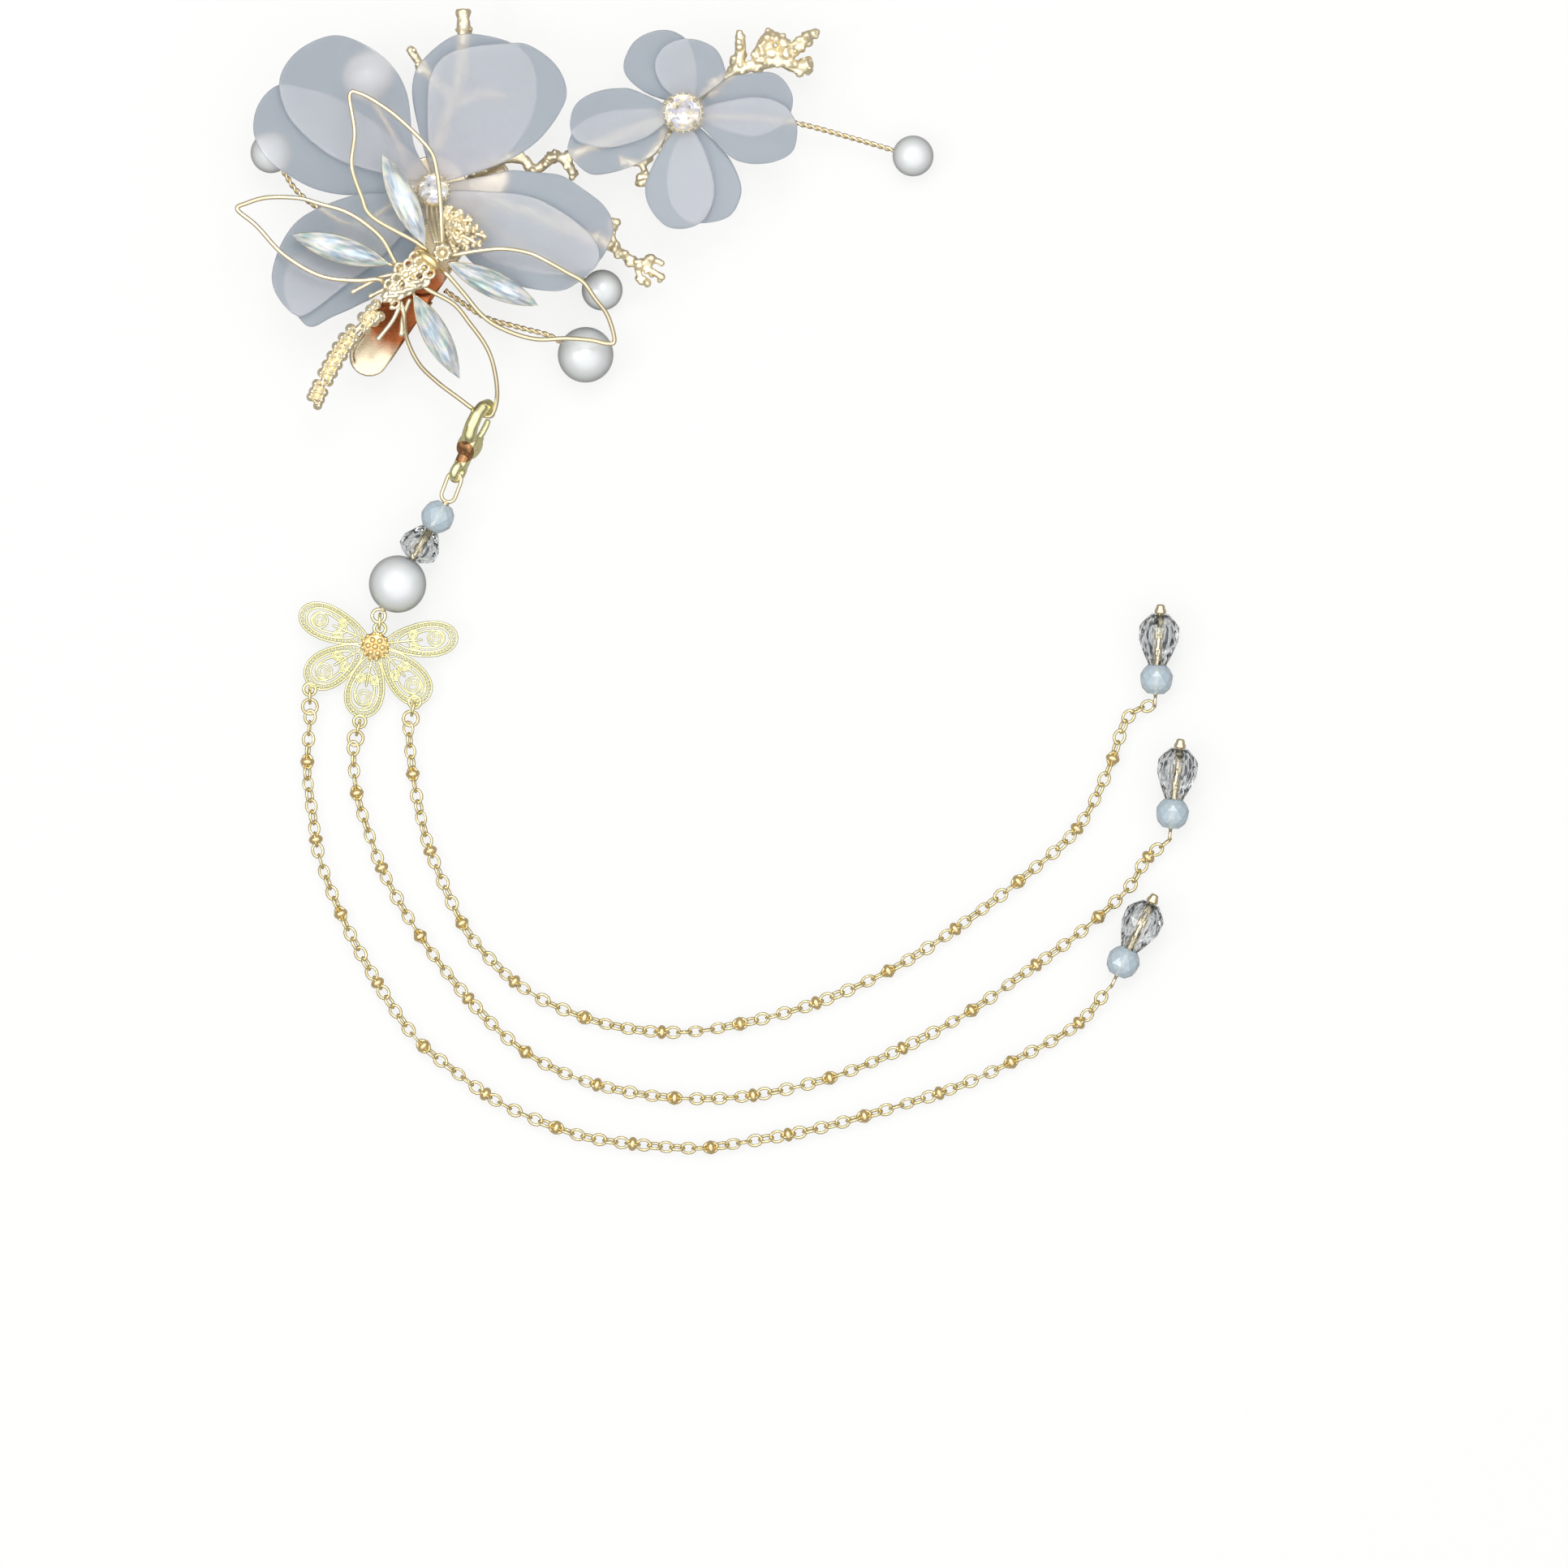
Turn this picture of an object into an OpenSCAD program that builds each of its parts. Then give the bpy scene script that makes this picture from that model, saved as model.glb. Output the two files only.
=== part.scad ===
// Bridal hair clip: a sprung clip carries two petal flowers, gold coral twigs, pearls on wire
// stems and a dragonfly. A bead drop hooked to one wing holds a filigree butterfly and three chains.
// It lies on its clip, face up. Millimetres; the origin is the centre of the clip's flat underside.

/* [Clip] */
// Length of the clip from press tab to jaw tip
clip_l = 45; // [40:1:50]
// Width of both clip arms
clip_w = 7; // [6:0.5:8]
// Sheet thickness of the clip
clip_t = 0.9; // [0.7:0.1:1]
// Turn of the clip in plan
clip_turn = 56; // [50:1:62]
// Slope of the press tab
tab_slope = 15; // [13:1:18]

/* [Flowers] */
// Thickness of a petal
petal_t = 0.9; // [0.7:0.1:1.1]
// Rise of the large petals from the centre to 28 mm out
large_rise = 3.6; // [2.4:0.2:3.8]
// Rise of the small petals from the centre to 20 mm out
small_rise = 2.5; // [1.5:0.5:3]
// Radius of the stone in the large flower
large_stone_r = 2.3; // [2:0.1:2.4]
// Radius of the stone in the small flower
small_stone_r = 2.8; // [2.4:0.1:3]

/* [Beads] */
// Diameter of the largest pearl, on the twisted stem
big_pearl_d = 9.8; // [9:0.1:10]
// Diameter of the small stem pearls
small_pearl_d = 7.2; // [6.8:0.1:7.4]
// Diameter of the strung pearl
drop_pearl_d = 10.1; // [9.6:0.1:10.2]
// Diameter of a blue bead
blue_d = 5.9; // [5.4:0.1:6]
// Length of a blue bead along its pin
blue_l = 5.1; // [4.8:0.1:5.4]
// Widest diameter of a cut crystal
crystal_d = 7.4; // [6.8:0.1:7.6]
// Length of a crystal at a chain end
crystal_l = 8.9; // [8:0.1:9.4]

/* [Dragonfly] */
// Diameter of the wing wire
wing_wire_d = 0.8; // [0.6:0.1:0.9]
// Length of a pointed wing stone
navette_l = 17.8; // [16:0.2:18]
// Width of a pointed wing stone
navette_w = 4.5; // [4:0.1:4.8]

/* [Chains] */
// Outer width of a chain
chain_d = 2.4; // [2:0.1:2.6]

/* [Hidden] */
large_centre = [0.7, 13.6];
small_centre = [44.6, 27.1];
back_z = 9.4;
front_z = 11;
small_back_z = 9;
small_front_z = 10.5;
plate_z = 6.6;
plate_t = 0.8;
plate_top = plate_z + plate_t;
hinge_u = -6;
hinge_z = 3;
arm_z = 4.6;
arm_slope = 6.8;
ear_r = 1.45;
pin_r = 0.75;
pin_play = 0.1;
pin_l = 7.8;
pin_head_r = 1.15;
pin_head_t = 0.5;
coil_r = 1.2;
coil_wire_r = 0.28;
arm_t = clip_t - 0.2;
arm_fold = 3.2;
jaw_ear_in = 1.6;
jaw_ear_t = 0.8;
arm_ear_in = 2.6;
arm_ear_t = 0.7;
tooth_h = 0.35;
body_z = 18;
head_at = [2.3, 2.4];
back_dir = unit([-10.9, -10]);
across = [-back_dir[1], back_dir[0]];
// Balls of the thorax: how far back from the head, how far aside, radius
THORAX = [
    [3, -1.3, 2], [3, 1, 2], [5.4, -2, 2.1], [5.4, 0.6, 2.1], [7.8, -2, 1.8], [7.8, -0.2, 2],
    [10.2, -1.1, 2], [12.2, 0, 2.1]
];
TAIL = [[-9, -7.7], [-14.3, -12.9], [-18, -19], [-20.3, -23.9]];
tray_t = 0.6;
stem_r = 0.5;
cup_h = 1.5;
claw_r = 0.5;
claw_h = 2.2;
bore_r = 0.45;
drop_pin_r = 0.35;
ring_r = 1.3;
ring_wire_r = 0.3;
ring_z = ring_r + ring_wire_r + 0.05;

gold = "#d9b45f";
lemon = "#e3c95e";
petal_blue = "#b4c2ce";
pearl_white = "#eef0ee";
opal_blue = "#a9cfe0";
crystal_clear = "#dfe6ee";

// Petal outlines: each starts and ends beside its flower's centre, four petals in each layer
LARGE_FRONT = [
    [[0.1, 16], [-2.7, 21.4], [-3.9, 30.3], [-6.9, 35.7], [-11.9, 39.3], [-17.1, 40.6], [-23, 38],
     [-26.3, 33], [-25.1, 27], [-20.7, 22], [-14.3, 18.1], [-1.4, 15]],
    [[1.4, 16], [0, 20], [-0.4, 26], [0, 33], [2.6, 37], [7.1, 38.6], [13, 39.2], [17.3, 39],
     [22, 35.7], [24.1, 31.3], [23.1, 27.4], [19, 22.1], [13.1, 18.4], [2.8, 15]],
    [[3.2, 13.4], [12.9, 13.1], [17.9, 12.3], [22, 10.4], [26, 7.7], [29.3, 4.3], [29.7, 0.7],
     [27, -2.1], [23.7, -4.1], [20, -4.2], [15.7, -3.4], [10, -1.4], [4.4, 4.5], [2.4, 11.8]],
    [[-1.7, 13], [-6, 12.9], [-11.4, 12.9], [-17.3, 11.3], [-22.9, 8.3], [-26.1, 3.9], [-27.7, -1.7],
     [-26.4, -5.7], [-23.4, -8.6], [-20.7, -7.9], [-14.3, -2.9], [-7.1, 2.9], [-0.8, 11.5]]
];
LARGE_BACK = [
    [[-0.9, 15.4], [-2.7, 19.5], [-8.6, 24.6], [-13.1, 27.6], [-17.1, 30], [-22, 31.4], [-26.6, 31.9],
     [-30, 28.6], [-30.9, 23.6], [-28.6, 19], [-24, 15.6], [-18.9, 13.3], [-12, 12.6], [-1.8, 13.9]],
    [[0.4, 16.1], [-2.6, 27.1], [-2.9, 32.9], [-0.9, 36.7], [4.3, 40.6], [10, 40.6], [15.7, 38.6],
     [18.6, 34.3], [18.6, 28.6], [15.7, 22.1], [9.5, 17.6], [2, 15.8]],
    [[3, 14.6], [10, 16.1], [14.3, 17], [19.1, 16.6], [23, 16.1], [26.4, 14.1], [30.7, 10.7],
     [32.4, 7.1], [31.7, 4.3], [29.5, 0.7], [24.3, -1.4], [17.1, -0.7], [10, 1.4], [4.5, 7], [3, 13]],
    [[-1.2, 12.1], [-6, 9.4], [-13, 8], [-20, 4.3], [-24.9, 0], [-25.4, -5], [-23, -8.9],
     [-20.7, -10.6], [-17, -8.8], [-13, -7], [-8.1, -4], [-2.1, 4.3], [0.3, 11.2]]
];
SMALL_FRONT = [
    [[43.9, 29.2], [40.7, 32.1], [39.6, 35.7], [41.1, 38.6], [44.1, 40], [47.4, 39.8], [50.3, 38.3],
     [51.7, 35.7], [51.9, 33.3], [49.3, 30.9], [46, 28.8]],
    [[47, 27.6], [52.9, 29.3], [58.1, 29.8], [62.1, 28.5], [64.3, 25.7], [64.6, 23], [63.6, 20],
     [60, 18.3], [55.7, 18.2], [52.4, 19.7], [48.6, 23.8], [46.4, 25.9]],
    [[45.5, 25.2], [47.9, 21.4], [49.7, 16.4], [50, 12.1], [48.3, 8.3], [45, 6.7], [41.3, 7.3],
     [38.4, 11], [38.1, 15], [40.7, 20.7], [43.9, 25.2]],
    [[42.4, 26.4], [38.6, 23.1], [33.7, 21.3], [30, 21], [26, 22.1], [24.7, 24.6], [25.3, 27.9],
     [27.3, 29.9], [30.1, 31], [33, 31.4], [36, 31.1], [42.4, 28]]
];
SMALL_BACK = [
    [[45.8, 29], [46.9, 32.1], [46.7, 36.4], [45.1, 40], [42.1, 41.6], [38.6, 41.2], [35.7, 39.3],
     [34.1, 35.7], [35, 33], [38.6, 30.3], [43.5, 28.9]],
    [[46.8, 28.2], [51.9, 33], [56.4, 34], [60, 34.2], [62.3, 32.8], [63.8, 30], [63.4, 26.9],
     [61.4, 24.6], [57.3, 23.1], [52.1, 24], [47, 26.5]],
    [[46.1, 25.5], [49.3, 22.9], [52.7, 19.1], [54.6, 15], [54.6, 12.1], [52.7, 8.9], [48.6, 7.7],
     [45, 8.3], [42.6, 10.7], [41.7, 15], [42.6, 20], [45, 25.1]],
    [[42.7, 25.9], [40, 20.3], [35.6, 17.7], [30.7, 16.3], [27.6, 16.6], [24.6, 19.7], [24.5, 22.1],
     [26.1, 25], [30.1, 27], [35.6, 27.8], [42.2, 27.2]]
];

// Wing wires: each runs out along one edge, round the tip and back to the thorax
WING_UPPER = [
    [-1.7, 3.9, 18], [-9.9, 8.6, 19], [-11.9, 12.3, 19.5], [-13.6, 17.7, 20], [-13.1, 23.6, 20],
    [-14, 30, 19.2], [-12.3, 30.4, 19], [-8.9, 28.6, 19.2], [-4.9, 25.6, 19.5], [0, 20.6, 19.7],
    [1.3, 17, 19.5], [2, 11, 18.8], [2.2, 5, 18]
];
WING_LEFT = [
    [-5.9, 0.6, 18.2], [-8.1, 4.6, 18.8], [-11.1, 7.4, 19], [-14.7, 9.6, 19.1], [-19.3, 11, 19],
    [-23, 12, 18.8], [-28.4, 12.1, 18.4], [-32.1, 11.1, 18], [-33.7, 10, 17.8], [-30.3, 7.1, 18],
    [-25.6, 2.1, 18.3], [-19.3, -1.6, 18.6], [-13, -2.5, 18.6], [-8.8, -2.3, 18.2]
];
WING_RIGHT = [
    [4.8, 2.1, 18], [8.3, 2.7, 18], [12.9, 3.1, 17.6], [17.4, 2.4, 17], [20.7, 0.9, 17],
    [24.1, -1, 16.7], [27, -2.7, 16.4], [29.1, -5.6, 15.4], [31.3, -8.6, 14], [32.5, -12.9, 12.4],
    [31.2, -13.5, 12.4], [28.3, -12.9, 12.8], [24, -12.6, 13.4], [18.4, -12.7, 14.2],
    [13, -11, 15.2], [9.3, -8.6, 16], [6, -4.7, 17], [3.4, -1.7, 17.8]
];
WING_LOWER = [
    [-0.2, -4.1, 17.6], [4.3, -6.6, 16.4], [7.1, -10, 15], [9.6, -13.4, 13.6], [11, -16.5, 12.4],
    [11.8, -20.7, 10.6], [11.7, -24, 9], [10.6, -26.2, 8], [8.3, -25.4, 7.8], [5, -23, 8.8],
    [1.3, -20.2, 10.4], [-1.9, -17, 12.4], [-4, -12.6, 14.6], [-4.5, -8.4, 17]
];

// Wing stones: centre, turn in plan, slope down towards the tip, reach of the tray's stalk
NAVETTES = [
    [[-4.5, 11.7, 18.4], 115.3, 0, 0.1],
    [[-15.6, 3, 18.2], 163.3, 0, 1],
    [[11.2, -3.1, 16.4], -25.3, 9, 0],
    [[1.3, -12.3, 14.6], -61.5, 21, 0.1]
];

// Stems: routes of the twisted wires from the base plate to their pearls
STEM_LEFT = [[-5.6, 11.6, 7], [-13, 7.4, 7.6], [-19, 10, 8.2], [-23.3, 13.3, 8.7], [-25.8, 17, 8.9]];
STEM_HIDDEN = [[-4.2, 17.9, 7], [-7, 24, 7.6], [-10, 29, 8.2]];
STEM_MID = [[6.2, 10.3, 7], [15, 4.5, 6.6], [22, 0.8, 5.2], [27.1, -2.3, 4.1]];
STEM_BIG = [[2.7, -4.1, 6.9], [9.3, -8.6, 6.4], [15, -10.4, 5.8], [20.7, -11.9, 5.3], [23, -13.1, 5.1]];
STEM_FAR = [[48.8, 26.4, 7], [57, 26.3, 6.8], [65, 25.2, 6.4], [74, 22.8, 5.4], [81.5, 20.6, 4.1]];

// Chains: routes from the filigree butterfly to the end drops, and where each drop points
CHAIN_OUTER = [
    [-21.1, -79.1], [-21.6, -88.7], [-20.7, -96], [-19, -105.3], [-13, -119.3], [-3.6, -134.3],
    [4.3, -141.4], [13, -147.4], [24.3, -152.1], [32, -153.8], [45.7, -155], [53.6, -154.2],
    [67, -151.8], [80, -148.3], [93, -144.1], [104.3, -138.8], [113.8, -133.3], [119.3, -127]
];
CHAIN_MIDDLE = [
    [-13.5, -84.6], [-13, -92], [-10.6, -100], [-6.9, -109], [1.4, -122.1], [12.9, -135],
    [24.3, -142.1], [38.6, -145.7], [53, -146.1], [67, -143.6], [79.3, -139.2], [93.6, -131.8],
    [104.3, -124.4], [114.3, -117.1], [122.6, -109.6], [126, -104.2], [129.4, -101.3]
];
CHAIN_INNER = [
    [-3.8, -81.2], [-2.9, -90], [-0.8, -100], [1.6, -106.6], [5.7, -115.5], [10, -121.1],
    [15.7, -126.3], [23, -130.4], [33, -133.6], [44.3, -134.6], [56, -132.8], [68.6, -129.2],
    [82, -123.1], [93.6, -115.6], [105.7, -106.3], [114, -98.6], [119.3, -88.6], [122.6, -79.5],
    [126.3, -77.2]
];
ENDS = [[120.3, -125.7, 64.5], [130.2, -99.9, 83.6], [127.6, -76.3, 86.7]];
end_bead_at = 1.35;
end_z = 2.7;
end_tilt = 5.4;
chain_start_z = 1.7;
chain_end_z = 2.3;

// Bead drop: the upper end of its long loop, the loop's turn, then the turn of the beads below it
drop_top = [4.3, -37.4, 6.3];
loop_turn = 249.5;
drop_turn = 239.2;
drop_slope = 3.3;
loop_r = 1.25;
loop_wire_r = 0.36;
loop_reach = 2.85;
string_top = drop_top + (loop_reach + loop_r + loop_wire_r + 0.1)
    * [cos(loop_turn) * cos(drop_slope), sin(loop_turn) * cos(drop_slope), -sin(drop_slope)];
drop_crystal_l = 6.1;
bead_at = 0.05;
drop_crystal_at = bead_at + blue_l + 0.05;
pearl_at = drop_crystal_at + drop_crystal_l + 0.05 + drop_pearl_d / 2;
loop_at = pearl_at + drop_pearl_d / 2 + 1.45;

// Clasp: its hook end, turn, slope and roll about its own length
clasp_at = [10.35, -23.9, 7.7];
clasp_turn = 246;
clasp_slope = 6;
clasp_roll = -65;
clasp_pivot = 8.2;
clasp_eye = 13.2;
lever_pin_r = 0.4;

// Filigree butterfly: place of its rosette, turn in plan and tilt down towards the chains
fly_at = [-9.6, -66.6, 2.8];
fly_turn = -9.2;
fly_tilt = 7;
fly_t = 0.8;
FLY_EYES = [[-10.2, -9.4], [-0.6, -13.6], [8.4, -8.6]];

// Curves and sweeps

function unit(v) = v / norm(v);
function bend(a, b, c, d, t) =
    0.5 * (2 * b + (c - a) * t + (2 * a - 5 * b + 4 * c - d) * t * t + (3 * b - a - 3 * c + d) * t * t * t);
function pick(p, i) = p[min(max(i, 0), len(p) - 1)];
function round_trip(p, i) = p[(i + len(p)) % len(p)];
function curve(p, steps) = [
    for (i = [0:len(p) - 2]) for (k = [0:steps - 1])
        bend(pick(p, i - 1), p[i], p[i + 1], pick(p, i + 2), k / steps),
    p[len(p) - 1]
];
function loop(p, steps) = [
    for (i = [0:len(p) - 1]) for (k = [0:steps - 1])
        bend(round_trip(p, i - 1), p[i], round_trip(p, i + 1), round_trip(p, i + 2), k / steps)
];
function spread(p, i = 0) = i == len(p) ? 0 :
    p[i][0] * round_trip(p, i + 1)[1] - round_trip(p, i + 1)[0] * p[i][1] + spread(p, i + 1);
function anticlockwise(p) = spread(p) > 0 ? p : [for (i = [len(p) - 1:-1:0]) p[i]];
function middle(p, i = 0) = i == len(p) - 1 ? p[i] / len(p) : p[i] / len(p) + middle(p, i + 1);
function lie(p, z, first, last) = [
    for (i = [0:len(p) - 1]) [p[i][0], p[i][1], i == 0 ? first : i == len(p) - 1 ? last : z]
];
function heading(p, i) = unit(pick(p, i + 1) - pick(p, i - 1));
function side_of(t) = unit(cross(t, abs(t[2]) > 0.95 ? [1, 0, 0] : [0, 0, 1]));
function ring_points(c, t, r, sides) = [
    for (k = [0:sides - 1])
        c + r * (cos(360 * k / sides) * side_of(t) + sin(360 * k / sides) * cross(side_of(t), t))
];

// A tube along the points of a path, with a radius at each point
module tube(path, radii, sides) {
    n = len(path);
    points = [for (i = [0:n - 1]) each ring_points(path[i], heading(path, i), radii[i], sides)];
    walls = [
        for (i = [0:n - 2]) for (k = [0:sides - 1]) let (m = (k + 1) % sides)
            [i * sides + k, i * sides + m, (i + 1) * sides + m, (i + 1) * sides + k]
    ];
    first = [for (k = [sides - 1:-1:0]) k];
    last = [for (k = [0:sides - 1]) (n - 1) * sides + k];
    polyhedron(points, concat([first, last], walls));
}
module wire(path, r, sides = 6, steps = 2) {
    line = curve(path, steps);
    tube(line, [for (p = line) r], sides);
}
module twig(path, r_start, r_end, sides = 7, steps = 2) {
    line = curve(path, steps);
    last = len(line) - 1;
    lumps = [1, 1.22, 0.94, 1.15];
    tube(line, [for (i = [0:last]) (r_start + (r_end - r_start) * i / last) * lumps[i % 4]], sides);
}

// Solids of revolution and beads

module ring(major, minor) {
    rotate_extrude($fn = 48) translate([major, 0]) circle(r = minor, $fn = 24);
}
module bead(d, bore) {
    difference() {
        sphere(d = d, $fn = 48);
        translate([0, 0, -d]) cylinder(r = bore, h = 2 * d, $fn = 24);
    }
}
// Cut stone built from rings of corners along +Z: each ring is [height, radius]
module cut_stone(rings, sides) {
    n = len(rings);
    points = [
        for (q = rings) for (k = [0:sides - 1])
            [q[1] * cos(360 * k / sides), q[1] * sin(360 * k / sides), q[0]]
    ];
    walls = [
        for (i = [0:n - 2]) for (k = [0:sides - 1]) let (m = (k + 1) % sides)
            [i * sides + k, (i + 1) * sides + k, (i + 1) * sides + m, i * sides + m]
    ];
    polyhedron(points, concat(
        [[for (k = [0:sides - 1]) k]],
        [[for (k = [sides - 1:-1:0]) (n - 1) * sides + k]],
        walls));
}
module blue_bead() {
    profile = [[0, 0.28], [0.28, 0.46], [0.5, 0.5], [0.72, 0.46], [1, 0.28]];
    difference() {
        cut_stone([for (q = profile) [q[0] * blue_l, q[1] * blue_d]], 10);
        translate([0, 0, -1]) cylinder(r = bore_r, h = blue_l + 2, $fn = 24);
    }
}
module crystal(length) {
    difference() {
        cut_stone([[0, 0.24 * crystal_d], [0.24 * length, 0.37 * crystal_d],
            [0.62 * length, 0.5 * crystal_d], [0.84 * length, 0.4 * crystal_d],
            [length, 0.22 * crystal_d]], 10);
        translate([0, 0, -1]) cylinder(r = bore_r, h = length + 2, $fn = 24);
    }
}

// Clip: two sheet arms on a pin, sprung shut

module on_clip() {
    rotate([0, 0, clip_turn]) children();
}
module strip(from, to, w, t) {
    linear_extrude(t) {
        translate([from + w / 2, -w / 2]) square([to - from - w, w]);
        translate([from + w / 2, 0]) circle(d = w, $fn = 48);
        translate([to - w / 2, 0]) circle(d = w, $fn = 48);
    }
}
module ears(inner, t, foot_z, top_z) {
    for (side = [-1, 1])
        translate([hinge_u, side * (inner + t / 2), 0]) {
            translate([-ear_r, -t / 2, foot_z]) cube([2 * ear_r, t, top_z - foot_z]);
            translate([0, -t / 2, hinge_z]) rotate([-90, 0, 0]) cylinder(r = ear_r, h = t, $fn = 48);
        }
}
module pin_bore() {
    translate([hinge_u, -10, hinge_z]) rotate([-90, 0, 0])
        cylinder(r = pin_r + pin_play, h = 20, $fn = 48);
}
module clip_jaw() {
    color(gold) on_clip() difference() {
        union() {
            strip(-clip_l / 2 + 2, clip_l / 2, clip_w, clip_t);
            ears(jaw_ear_in, jaw_ear_t, clip_t - 0.1, hinge_z);
            for (u = [13:2:19]) translate([u, -2.2, clip_t - 0.1]) cube([0.6, 4.4, tooth_h]);
        }
        pin_bore();
    }
}
module base_plate() {
    translate([0, 0, plate_z]) linear_extrude(plate_t) {
        translate(large_centre) circle(r = 6, $fn = 48);
        translate([-1, -0.8]) circle(r = 4, $fn = 48);
        translate([-3, -1]) square([6.5, 12]);
    }
}
module clip_top_arm() {
    color(gold) difference() {
        union() {
            on_clip() {
                translate([hinge_u, 0, arm_z]) rotate([0, arm_slope, 0])
                    strip(-arm_fold, clip_l / 2 - hinge_u - 0.4, clip_w - 0.6, arm_t);
                translate([hinge_u, 0, arm_z]) rotate([0, tab_slope, 0])
                    strip(-clip_l / 2 - hinge_u - 0.6, arm_fold, clip_w, arm_t);
                ears(arm_ear_in, arm_ear_t, hinge_z, arm_z + 0.3);
                translate([8, 0, 3.1]) cylinder(r = 2.4, h = plate_z - 3, $fn = 48);
                translate([-1, 0, 4.2]) cylinder(r = 2, h = plate_z - 4.1, $fn = 48);
            }
            base_plate();
            translate([large_centre[0], large_centre[1], plate_top - 0.1])
                cylinder(r = 1.2, h = front_z + 0.9 - plate_top, $fn = 36);
            translate([-1.2, -0.6, plate_top - 0.1]) cylinder(r = 1.1, h = 7.8, $fn = 36);
        }
        on_clip() pin_bore();
    }
}
module clip_pin() {
    color(gold) on_clip() translate([hinge_u, 0, hinge_z]) rotate([-90, 0, 0]) {
        translate([0, 0, -pin_l / 2]) cylinder(r = pin_r, h = pin_l, $fn = 48);
        for (end = [-pin_l / 2, pin_l / 2 - pin_head_t])
            translate([0, 0, end]) cylinder(r = pin_head_r, h = pin_head_t, $fn = 36);
    }
}
module clip_spring() {
    color(gold) on_clip() translate([hinge_u, 0, hinge_z]) {
        for (v = [-1:0.5:1]) translate([0, v, 0]) rotate([90, 0, 0]) ring(coil_r, coil_wire_r);
        translate([1, 0.9, -0.3]) rotate([0, 99, 0]) cylinder(r = coil_wire_r, h = 7, $fn = 24);
    }
}

// Flowers

// Height of a flower's sheet at a point, for a flower with the given centre
function sheet_z(p, centre, z0, rise, reach) =
    z0 + rise * pow(norm([p[0], p[1]] - centre) / reach, 2);

// One petal: a thin cupped sheet whose edge is half as thick as its middle
module petal(outline, centre, z0, rise, reach) {
    edge = anticlockwise(loop(outline, 3));
    mid = middle(edge);
    n = len(edge);
    rows = [0.62, 1];
    function place(f, k, half) = let (p = mid + f * (edge[k] - mid))
        [p[0], p[1], sheet_z(p, centre, z0, rise, reach) + half * (f == 1 ? 0.5 : 1)];
    points = concat(
        [for (half = [petal_t / 2, -petal_t / 2]) for (f = rows) for (k = [0:n - 1]) place(f, k, half)],
        [for (half = [petal_t / 2, -petal_t / 2])
            [mid[0], mid[1], sheet_z(mid, centre, z0, rise, reach) + half]]);
    top = 4 * n;
    polyhedron(points, [
        for (k = [0:n - 1]) let (m = (k + 1) % n) each [
            [top, m, k], [top + 1, 2 * n + k, 2 * n + m],
            [k, m, n + m], [k, n + m, n + k],
            [2 * n + k, 3 * n + m, 2 * n + m], [2 * n + k, 3 * n + k, 3 * n + m],
            [n + k, n + m, 3 * n + m], [n + k, 3 * n + m, 3 * n + k]
        ]
    ]);
}
module large_petal(outline, z0) {
    color(petal_blue, 0.8) petal(outline, large_centre, z0, large_rise, 28);
}
module small_petals(outlines, z0) {
    color(petal_blue, 0.8) for (outline = outlines) petal(outline, small_centre, z0, small_rise, 20);
}

// Claw setting: a cup with four claws over the stone's edge, standing on a flower's middle
module setting(centre, petals_z, stone_r) {
    wall = stone_r + 0.55;
    color(gold) translate([centre[0], centre[1], petals_z + 0.9]) {
        difference() {
            cylinder(r = wall, h = cup_h, $fn = 48);
            translate([0, 0, 0.5]) cylinder(r = stone_r + 0.1, h = cup_h, $fn = 48);
        }
        for (a = [45:90:315]) rotate([0, 0, a]) translate([wall - 0.1, 0, 0]) {
            cylinder(r = claw_r, h = claw_h, $fn = 24);
            translate([0, 0, claw_h]) sphere(r = claw_r + 0.02, $fn = 24);
        }
    }
}
module round_stone(centre, petals_z, r) {
    color(crystal_clear) translate([centre[0], centre[1], petals_z + 1.4])
        cut_stone([[0.05, 0.25 * r], [0.95, 0.96 * r], [1.15, 0.96 * r], [1.95, 0.56 * r]], 8);
}
module small_hub() {
    translate([small_centre[0], small_centre[1], plate_z + 0.1]) {
        cylinder(r = 4, h = 0.8, $fn = 48);
        cylinder(r = 1.2, h = small_front_z - plate_z + 0.7, $fn = 36);
    }
}

// Coral twigs

module coral_link() {
    color(gold) {
        small_hub();
        twig([[6.9, 16.2, 7.1], [10, 17.8, 6.9], [14, 19.3, 7], [16.7, 18.8, 7.2], [17.6, 17.5, 7.3],
              [19.2, 17.4, 7.3], [21.6, 19.3, 7.4], [23.6, 19.3, 7.4], [29, 21.4, 7.2], [36, 24.4, 7.1],
              [41.4, 26, 7]], 0.95, 0.8);
        twig([[23.4, 19.2, 7.4], [24.6, 17.6, 7.3], [25.6, 15.7, 7.1]], 0.9, 0.75);
    }
}
module coral_top() {
    color(gold) {
        twig([[1.3, 20.2, 7.1], [3, 26, 7.6], [5, 32, 8.3], [5.9, 38, 8.8], [5.9, 44.8, 9.2]], 0.9, 1.05);
        translate([5.9, 44.2, 8.7]) cylinder(r = 1.4, h = 1, $fn = 10);
        twig([[4.2, 30, 8.1], [1, 32.6, 8.4], [-1.6, 35.6, 8.7], [-3.7, 38.8, 9]], 0.8, 0.7);
        twig([[3.6, 28, 7.8], [9, 30.4, 8.2], [13.4, 30, 8.4]], 0.7, 0.5);
    }
}
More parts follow.
